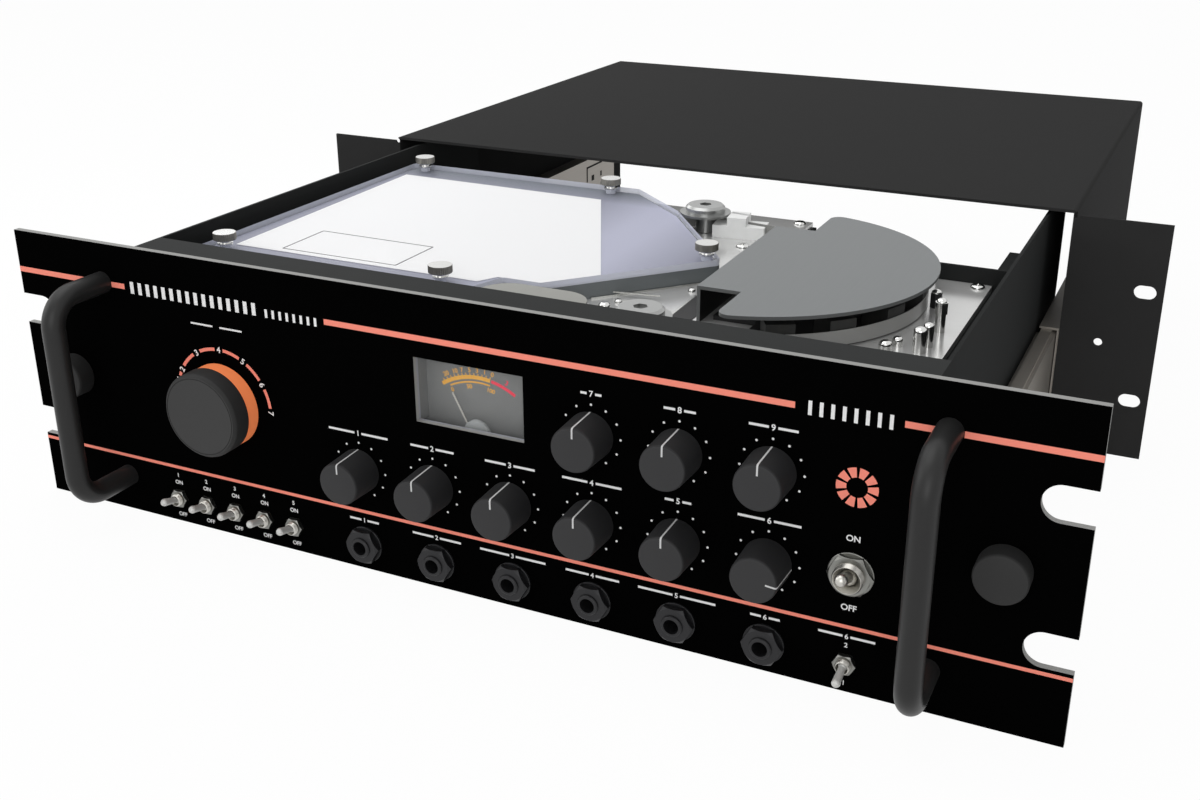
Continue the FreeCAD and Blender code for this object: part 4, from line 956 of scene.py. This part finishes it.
def hex_nut(name, x, z, across, back, front, bore):
    """Nut with flats at its top and bottom, its corners rounded off towards the front."""
    corner = across / 2 / math.cos(math.radians(30))
    nut = turned(name, (x, 0, z), "Y", [(back, corner), (front, corner)], 6, spin=30.0)
    lens = turned("lens", (x, 0, z), "Y",
                  [(back - 0.1, corner + 0.1), (front - 0.16 * across / 2, corner + 0.1),
                   (front, across / 2 - 0.05)], 48)
    carve(nut, lens, "INTERSECT")
    return bored(nut, x, z, back - 1, front + 1, bore, 32)


def thread(start, end, r, pitch):
    """Profile of a threaded run, from start to end."""
    turns = max(1, round((end - start) / pitch))
    step = (end - start) / turns
    points = []
    for i in range(turns):
        points += [(start + step * i, r - 0.3 * pitch), (start + step * (i + 0.5), r)]
    return points + [(end, r - 0.3 * pitch)]


def jacks():
    """Six jack sockets: washer, nut, threaded bush and the body behind the panel."""
    x, washer_front, nut_front, bush_r, bore = jack_columns[0], 1.0, 4.2, 4.6, 3.2
    washer = turned("washer", (x, 0, jack_z), "Y",
                    [(0.0, 8.4), (0.8, 8.4), (washer_front, 8.2)], 48)
    bored(washer, x, jack_z, -1, 2, bush_r)
    nut = hex_nut("nut", x, jack_z, 14.7, washer_front, nut_front, bush_r)
    profile = [(-2.9, bush_r), (nut_front, bush_r)] + thread(nut_front, 5.0, bush_r, 0.8)
    bush = turned("bush", (x, 0, jack_z), "Y", profile + [(5.2, 4.1)], 40)
    bored(bush, x, jack_z, -4, 6, bore)
    half = 7.2
    body = block("body", x - half, x + half, panel_back, 27.0, jack_z - half, jack_z + half, 0.4)
    bored(body, x, jack_z, -25.5, 2, bore)
    jack = joined("jack", [washer, nut, bush, body])
    coat(jack, "nut_dark")
    shifts = [(column - x, 0, 0) for column in jack_columns]
    repeat(jack, "jack", shifts, "jack_sockets")


def switch(name, x, z, ball, bush, length, nut, body, pitch, washer=0.0):
    """Fixed parts of a lever switch: nut, threaded bushing with a flared mouth, and body."""
    width, depth, height = body
    nut_front = washer + 2.2
    pivot = length - ball - 0.3
    profile = [(-4.0, bush), (nut_front, bush)] + thread(nut_front, length - 0.3, bush, pitch)
    profile += [(length, bush - 0.45), (length, bush - 0.6), (pivot, ball + 0.05),
                (pivot - ball - 0.3, ball + 0.05)]
    bushing = turned("bushing", (x, 0, z), "Y", profile, 40)
    ring = hex_nut("nut", x, z, nut, washer, nut_front, bush)
    case = block("case", x - width / 2, x + width / 2, panel_back, panel_back + depth,
                 z - height / 2, z + height / 2, 0.3)
    coat(bushing, "switch_nickel")
    coat(ring, "nut_nickel")
    coat(case, "meter_plastic")
    return joined(name, [bushing, ring, case])


def switches():
    """Six small lever switches and the larger power switch."""
    first = lever_at["toggle_lever_1"].x
    small = switch("switch", first, switch_z, ball=1.9, bush=3.0, length=4.4, nut=8.0,
                   body=(8.0, 9.0, 9.6), pitch=0.6)
    shifts = [(lever_at[node].x - first, 0, 0) for node in small_levers]
    repeat(small, "switch", shifts, "toggle_switches")
    x, bush, washer_front = lever_at["power_lever"].x, 5.9, 0.8
    power = switch("power_switch", x, power_z, ball=3.2, bush=bush, length=6.0, nut=15.5,
                   body=(16.0, 20.0, 26.0), pitch=0.9, washer=washer_front)
    finish(power, "drawer", None, ["toggle_switches"])
    washer = turned("power_washer", (x, 0, power_z), "Y",
                    [(0.0, 8.85), (0.6, 8.85), (washer_front, 8.6)], 48)
    bored(washer, x, power_z, -1, 2, bush)
    finish(washer, "drawer", "nut_nickel", ["toggle_switches"])


# ---- the meter
def meter():
    """Scale plate, printed scale, frosted half-round over the hub, and the opening's frame."""
    window = Place("meter_window")
    case = Place("meter_case")
    pivot = Place("meter_needle").foot + 2.0
    face, edge = 9.5, 1.4
    x, z = window.x - 0.5, pivot - 0.5
    plate = block("meter_scale_plate", case.left + edge, case.right - edge, face, face + edge,
                  case.foot + edge, case.top - edge, 0.2)
    finish(bored(plate, window.x, pivot, -12, -5, 1.3, 24), "drawer", "scale_grey")
    band, tick_half = 31.8, 0.18
    yellow = [arc_band("arc", x, z, 30.1, band, -34, 10, face),
              arc_band("arc", x, z, 28.5, 29.2, -28, 10.5, face)]
    for i in range(13):
        tick = mark("tick", x - tick_half, x + tick_half, z + band, z + 32.7, face)
        yellow.append(copy_of(tick, "tick", turn=-31 + 3.4 * i, about=(x, 0, z)))
        bpy.data.objects.remove(tick)
    upper = (("20", -27), ("10", -19.2), ("7", -13.4), ("5", -7.2), ("3", -1), ("1", 5), ("0", 11))
    lower = (("0", -28), ("50", -9.6), ("100", 12))
    for texts, r, height in ((upper, 34.1, figure_height), (lower, 26.9, 1.8)):
        yellow += [lettering("figure", text, *around(x, z, r, a), height, face, a)
                   for text, a in texts]
    on_drawer("meter_scale", yellow, "scale_yellow")
    red = [arc_band("arc", x, z, 30.2, 31.6, 11, 33, face),
           lettering("figure", "3", *around(x, z, 33.5, 23), 2.1, face, 23)]
    on_drawer("meter_scale_end", red, "scale_red")
    hub = turned("meter_hub_cover", (window.x, 0, window.foot - 3.5), "Y",
                 [(-6.8, 6.2), (-5.6, 6.2), (-4.9, 5.6), (-4.6, 4.2)], 48)
    only(hub)
    edit_all()
    bpy.ops.mesh.bisect(plane_co=at(0, 0, window.foot - 3.0), plane_no=(0, 0, 1),
                        use_fill=True, clear_inner=True)
    mode("OBJECT")
    finish(hub, "drawer", "frosted_cover")
    inner, outer = 0.1, 1.1
    foot, top = window.foot - outer, window.top + outer
    left, right = window.left - inner, window.right + inner
    rim = [block("side", window.left - outer, left, 3.05, face, foot, top),
           block("side", right, window.right + outer, 3.05, face, foot, top),
           block("side", left, right, 3.05, 6.8, window.top + inner, top)]
    on_drawer("meter_frame", rim, "scale_grey")


# ---- the tape deck
deck = Place("deck_plate").top
lid = Place("tank_cover")


def tank_screw(x, y):
    """Knurled thumb screw with a pale top, standing on its collar."""
    top = Place("tank_thumb_screws").top - deck
    collar, head = lid.top - deck, top - 3.6
    shank, knurl = 2.5, 5.4
    profile = [(0.0, shank), (collar, shank), (collar, 3.6), (collar + 0.8, 3.6),
               (collar + 0.8, shank), (head, shank), (head, 5.0), (head + 0.3, knurl),
               (top - 0.15, knurl), (top, 5.25)]
    screw = turned("screw", (x, y, deck), "Z", profile, 72)
    only(screw)
    mode("EDIT")
    bpy.ops.mesh.select_mode(type="VERT")
    bpy.ops.mesh.select_all(action="DESELECT")
    mode("OBJECT")
    for vertex in screw.data.vertices:
        place = (vertex.co - panel_foot) / MM
        step = math.degrees(math.atan2(place.y - y, place.x - x)) / 5.0
        outside = math.hypot(place.x - x, place.y - y) > knurl - 0.1
        vertex.select = bool(outside and round(step) % 2)
    mode("EDIT")
    bpy.ops.transform.resize(value=(0.95, 0.95, 1.0), center_override=at(x, y, deck + head))
    mode("OBJECT")
    coat(screw, "polished_steel")

    def on_side(centre, normal):
        return math.hypot(centre.x - x, centre.y - y) > 4.95 and abs(normal.z) < 0.3

    paint_faces(screw, "screw_side", on_side)
    return screw


def tank_screws():
    """The five thumb screws of the tank's lid."""
    places = solid_centres("tank_thumb_screws")
    x, y = places[0]
    screw = tank_screw(x, y)
    shifts = [(px - x, py - y, 0) for px, py in places]
    repeat(screw, "tank_thumb_screw", shifts, "tank_thumb_screws", smooth=20.0)


tank_left, tank_front = -171.8, 36.0
tank_outline = [(tank_left, tank_front), (-24.0, tank_front), (-24.0, 46.0), (-18.9, 61.5),
                (0.0, 61.5), (57.5, 127.0), (33.8, 159.5), (7.7, 195.4), (-28.7, tank_rear),
                (tank_left, tank_rear)]


def inset(corners, amount):
    """The outline moved inwards by an amount; its corners run anticlockwise seen from above."""
    moved = []
    for before, corner, after in zip(corners[-1:] + corners, corners, corners[1:] + corners[:1]):
        first = (Vector(corner) - Vector(before)).normalized()
        second = (Vector(after) - Vector(corner)).normalized()
        way = Vector((-first.y - second.y, first.x + second.x))
        step = amount * 2 / way.length_squared
        moved.append((corner[0] + way.x * step, corner[1] + way.y * step))
    return moved


def tank_film():
    """Bluish film bonded into the lid."""
    low = lid.foot + 0.3
    film = flat_plate("tank_film", inset(tank_outline, 1.0), low, low + 0.2)
    finish(film, "drawer", "tank_tint")


def tank_liner():
    """White sheet over the film, with the outline of a blank card on it."""
    low = lid.foot + 0.6
    top = low + 0.2
    corners = [(-162.3, 57.7), (-29.8, 57.7), (-24.5, 67.0), (-4.0, 67.0), (15.3, 89.0),
               (-41.6, 206.7), (-166.4, 209.7)]
    finish(flat_plate("liner", corners, low, top), "drawer", "liner_white")
    card = [(-138.0, 61.7), (-75.0, 61.7), (-75.0, 93.5), (-138.5, 94.0)]
    lines = [strip("line", a, b, 0.7, top, top + 0.04) for a, b in zip(card, card[1:] + card[:1])]
    on_drawer("liner_card", lines, "line_dark")


def tank_wall_foot():
    """Bright bead at the foot of the tank's wall, and the thin wire that comes out of it."""
    bead = strip("tank_wall_bead", (15.6, 78.2), (52.5, 120.2), 0.9, deck, deck + 0.8)
    finish(bead, "drawer", "wall_bright")
    wire = strip("tank_wire", (22.4, 87.0), (43.6, 90.4), 0.9, deck + 1.5, deck + 2.2)
    finish(wire, "drawer", "wall_bright")


def slide_slots():
    """Dark stop and seam, and dark slots, in the web of each outer slide; the slots are thin dark
    marks, painted shade standing for openings.
    """
    slides = Place("outer_slides")
    inner = slides.right - 1.2
    tail = slides.back - 49.0
    shapes = [(tail, tail + 1.8, 48.0, 60.0), (tail, tail + 27.5, 58.6, 60.0),
              (tail + 8.6, tail + 13.0, 47.6, 51.8), (tail + 24.0, tail + 26.4, 48.4, 52.2),
              (tail + 24.6, tail + 26.6, 41.6, 43.4)]
    pitch, length = 34, 16
    for n in range(6):
        start = slides.front + 20 + pitch * n
        shapes.append((start, start + length, 44.5, 50.5))
    marks = []
    for side in (-1, 1):
        faces = sorted((side * inner, side * (inner - 0.08)))
        marks += [block("slot", *faces, *shape) for shape in shapes]
    finish(joined("slide_slots", marks), "sleeve", "slot_dark")


def head_apron():
    """Black sheet on the deck beside the head base, under the cover's tongue: painted shade."""
    corners = [(56.6, 71.5), (66.0, 71.5), (66.0, 112.0), (56.2, 103.0)]
    # painted shade: a thin black sheet laid where the tongue's shade falls on the deck
    sheet = flat_plate("head_apron", corners, deck, deck + 0.3)
    finish(sheet, "drawer", "head_base_black")
    edge = strip("apron_edge", (56.0, 71.5), (55.6, 102.6), 0.7, deck, deck + 0.35)
    finish(edge, "drawer", "wall_bright")


def head_screw():
    """Dome screw on its block, beside the last head."""
    x, y, block_top = 155.2, 132.8, 6.4
    foot = turned("foot", (x, y, deck), "Z", [(0.0, 2.6), (block_top, 2.6)], 6)
    dome = turned("dome", (x, y, deck + block_top), "Z",
                  [(0.0, 2.1), (0.7, 2.1), (1.3, 1.6), (1.6, 0.8)], 32)
    coat(foot, "head_base_black")
    coat(dome, "polished_steel")
    on_drawer("head_screw", [foot, dome], None)


def deck_screw_heads():
    """Pan-head screws with a cross recess."""
    places = solid_centres("deck_screws")
    x, y = places[0]
    profile = [(0.0, 3.3), (0.4, 3.3), (0.9, 3.05), (1.3, 2.5), (1.5, 1.7), (1.57, 0.9)]
    screw = turned("screw", (x, y, deck), "Z", profile, 32)
    arm, half = 1.6, 0.35
    for wide, deep in ((arm, half), (half, arm)):
        carve(screw, block("cross", x - wide, x + wide, y - deep, y + deep, deck + 0.9, deck + 2))
    for n, (px, py) in enumerate(places, 1):
        shift = (px - x, py - y, 0)
        piece = copy_of(screw, "deck_screw_%d" % n, shift, 17.0 * n, (x, y, 0), "Z")
        finish(piece, "drawer", "polished_steel", ["deck_screws"])
    bpy.data.objects.remove(screw)


# ---- build it
stripes()
heading_ticks()
ring_ticks()
captions()
knob_dots()
mode_scale()
small_knobs()
selector_knob()
panel_screws()
jacks()
switches()
meter()
tank_screws()
tank_film()
tank_liner()
tank_wall_foot()
slide_slots()
head_apron()
head_screw()
deck_screw_heads()


# ---- studio
floor_gap = 0.0005  # object's foot to the floor
floor_glow = 0.96  # share of plain white in what the camera sees of the floor
sky_level = 0.42  # strength of the surroundings where they only bring light
white = (1, 1, 1, 1)


def studio_floor():
    """Pale floor that keeps the object's shadow and shows white to the camera."""
    low = cad_bounds[0].z
    bpy.ops.mesh.primitive_plane_add(size=40.0, location=(0.0, 0.0, low - floor_gap))
    floor = newest("floor")
    paint = Paint("floor_white", shade(250), 0.9, gloss=0.0)
    glow = paint.node("Emission", None, {"Color": white, "Strength": 1.0})
    lit = Value(paint, paint.shader.outputs[0])
    inputs = {0: paint.in_view() * floor_glow, 1: lit, 2: glow}
    both = paint.node("MixShader", None, inputs)
    paint.join(paint.tree.nodes["Material Output"].inputs["Surface"], both)
    floor.data.materials.append(paint.material)


def lamp(name, place, target, size, watts):
    """Soft square lamp aimed at a point."""
    light = bpy.data.lights.new(name, "AREA")
    light.shape = "SQUARE"
    light.size = size
    light.energy = watts
    made = bpy.data.objects.new(name, light)
    bpy.context.scene.collection.objects.link(made)
    made.location = place
    made.rotation_euler = (Vector(target) - Vector(place)).to_track_quat("-Z", "Y").to_euler()


def studio_light():
    """Even white surroundings, soft lamps above, left and in front, a small one by the sleeve."""
    world = bpy.data.worlds.new("studio")
    bpy.context.scene.world = world
    world.use_nodes = True
    world.node_tree.nodes.clear()
    sky = Nodes(world.node_tree)
    level = sky.ramp(sky.in_view(), 0.0, 1.0, sky_level, 1.0)
    glow = sky.node("Background", None, {"Color": white, "Strength": level})
    out = sky.tree.nodes.new("ShaderNodeOutputWorld")
    sky.join(out.inputs["Surface"], glow)
    lamp("top_lamp", (-0.5, -0.2, 1.9), (0.0, 0.0, 0.0), size=1.6, watts=14.5)
    lamp("left_lamp", (-1.8, -0.9, 0.9), (0.0, -0.1, 0.0), size=1.2, watts=7.0)
    lamp("front_lamp", (0.6, -2.1, 0.7), (0.0, -0.2, 0.0), size=1.2, watts=10.5)
    lamp("sleeve_lamp", (-0.5, 0.25, 0.38), (-0.22, 0.08, 0.07), size=0.3, watts=0.6)


def camera():
    """Camera in front and to the right, looking down across the panel onto the deck."""
    data = bpy.data.cameras.new("camera")
    data.sensor_width = 36.0
    data.lens = 41.12
    data.shift_x = -0.01934
    data.shift_y = -0.03066
    data.clip_start = 0.01
    data.clip_end = 100.0
    made = bpy.data.objects.new("camera", data)
    bpy.context.scene.collection.objects.link(made)
    made.location = (0.269286, -0.680609, 0.240575)
    made.rotation_euler = [math.radians(a) for a in (68.4939, -0.1145, 24.9763)]
    bpy.context.scene.camera = made


studio_floor()
studio_light()
camera()
bpy.context.scene.view_settings.view_transform = "Standard"
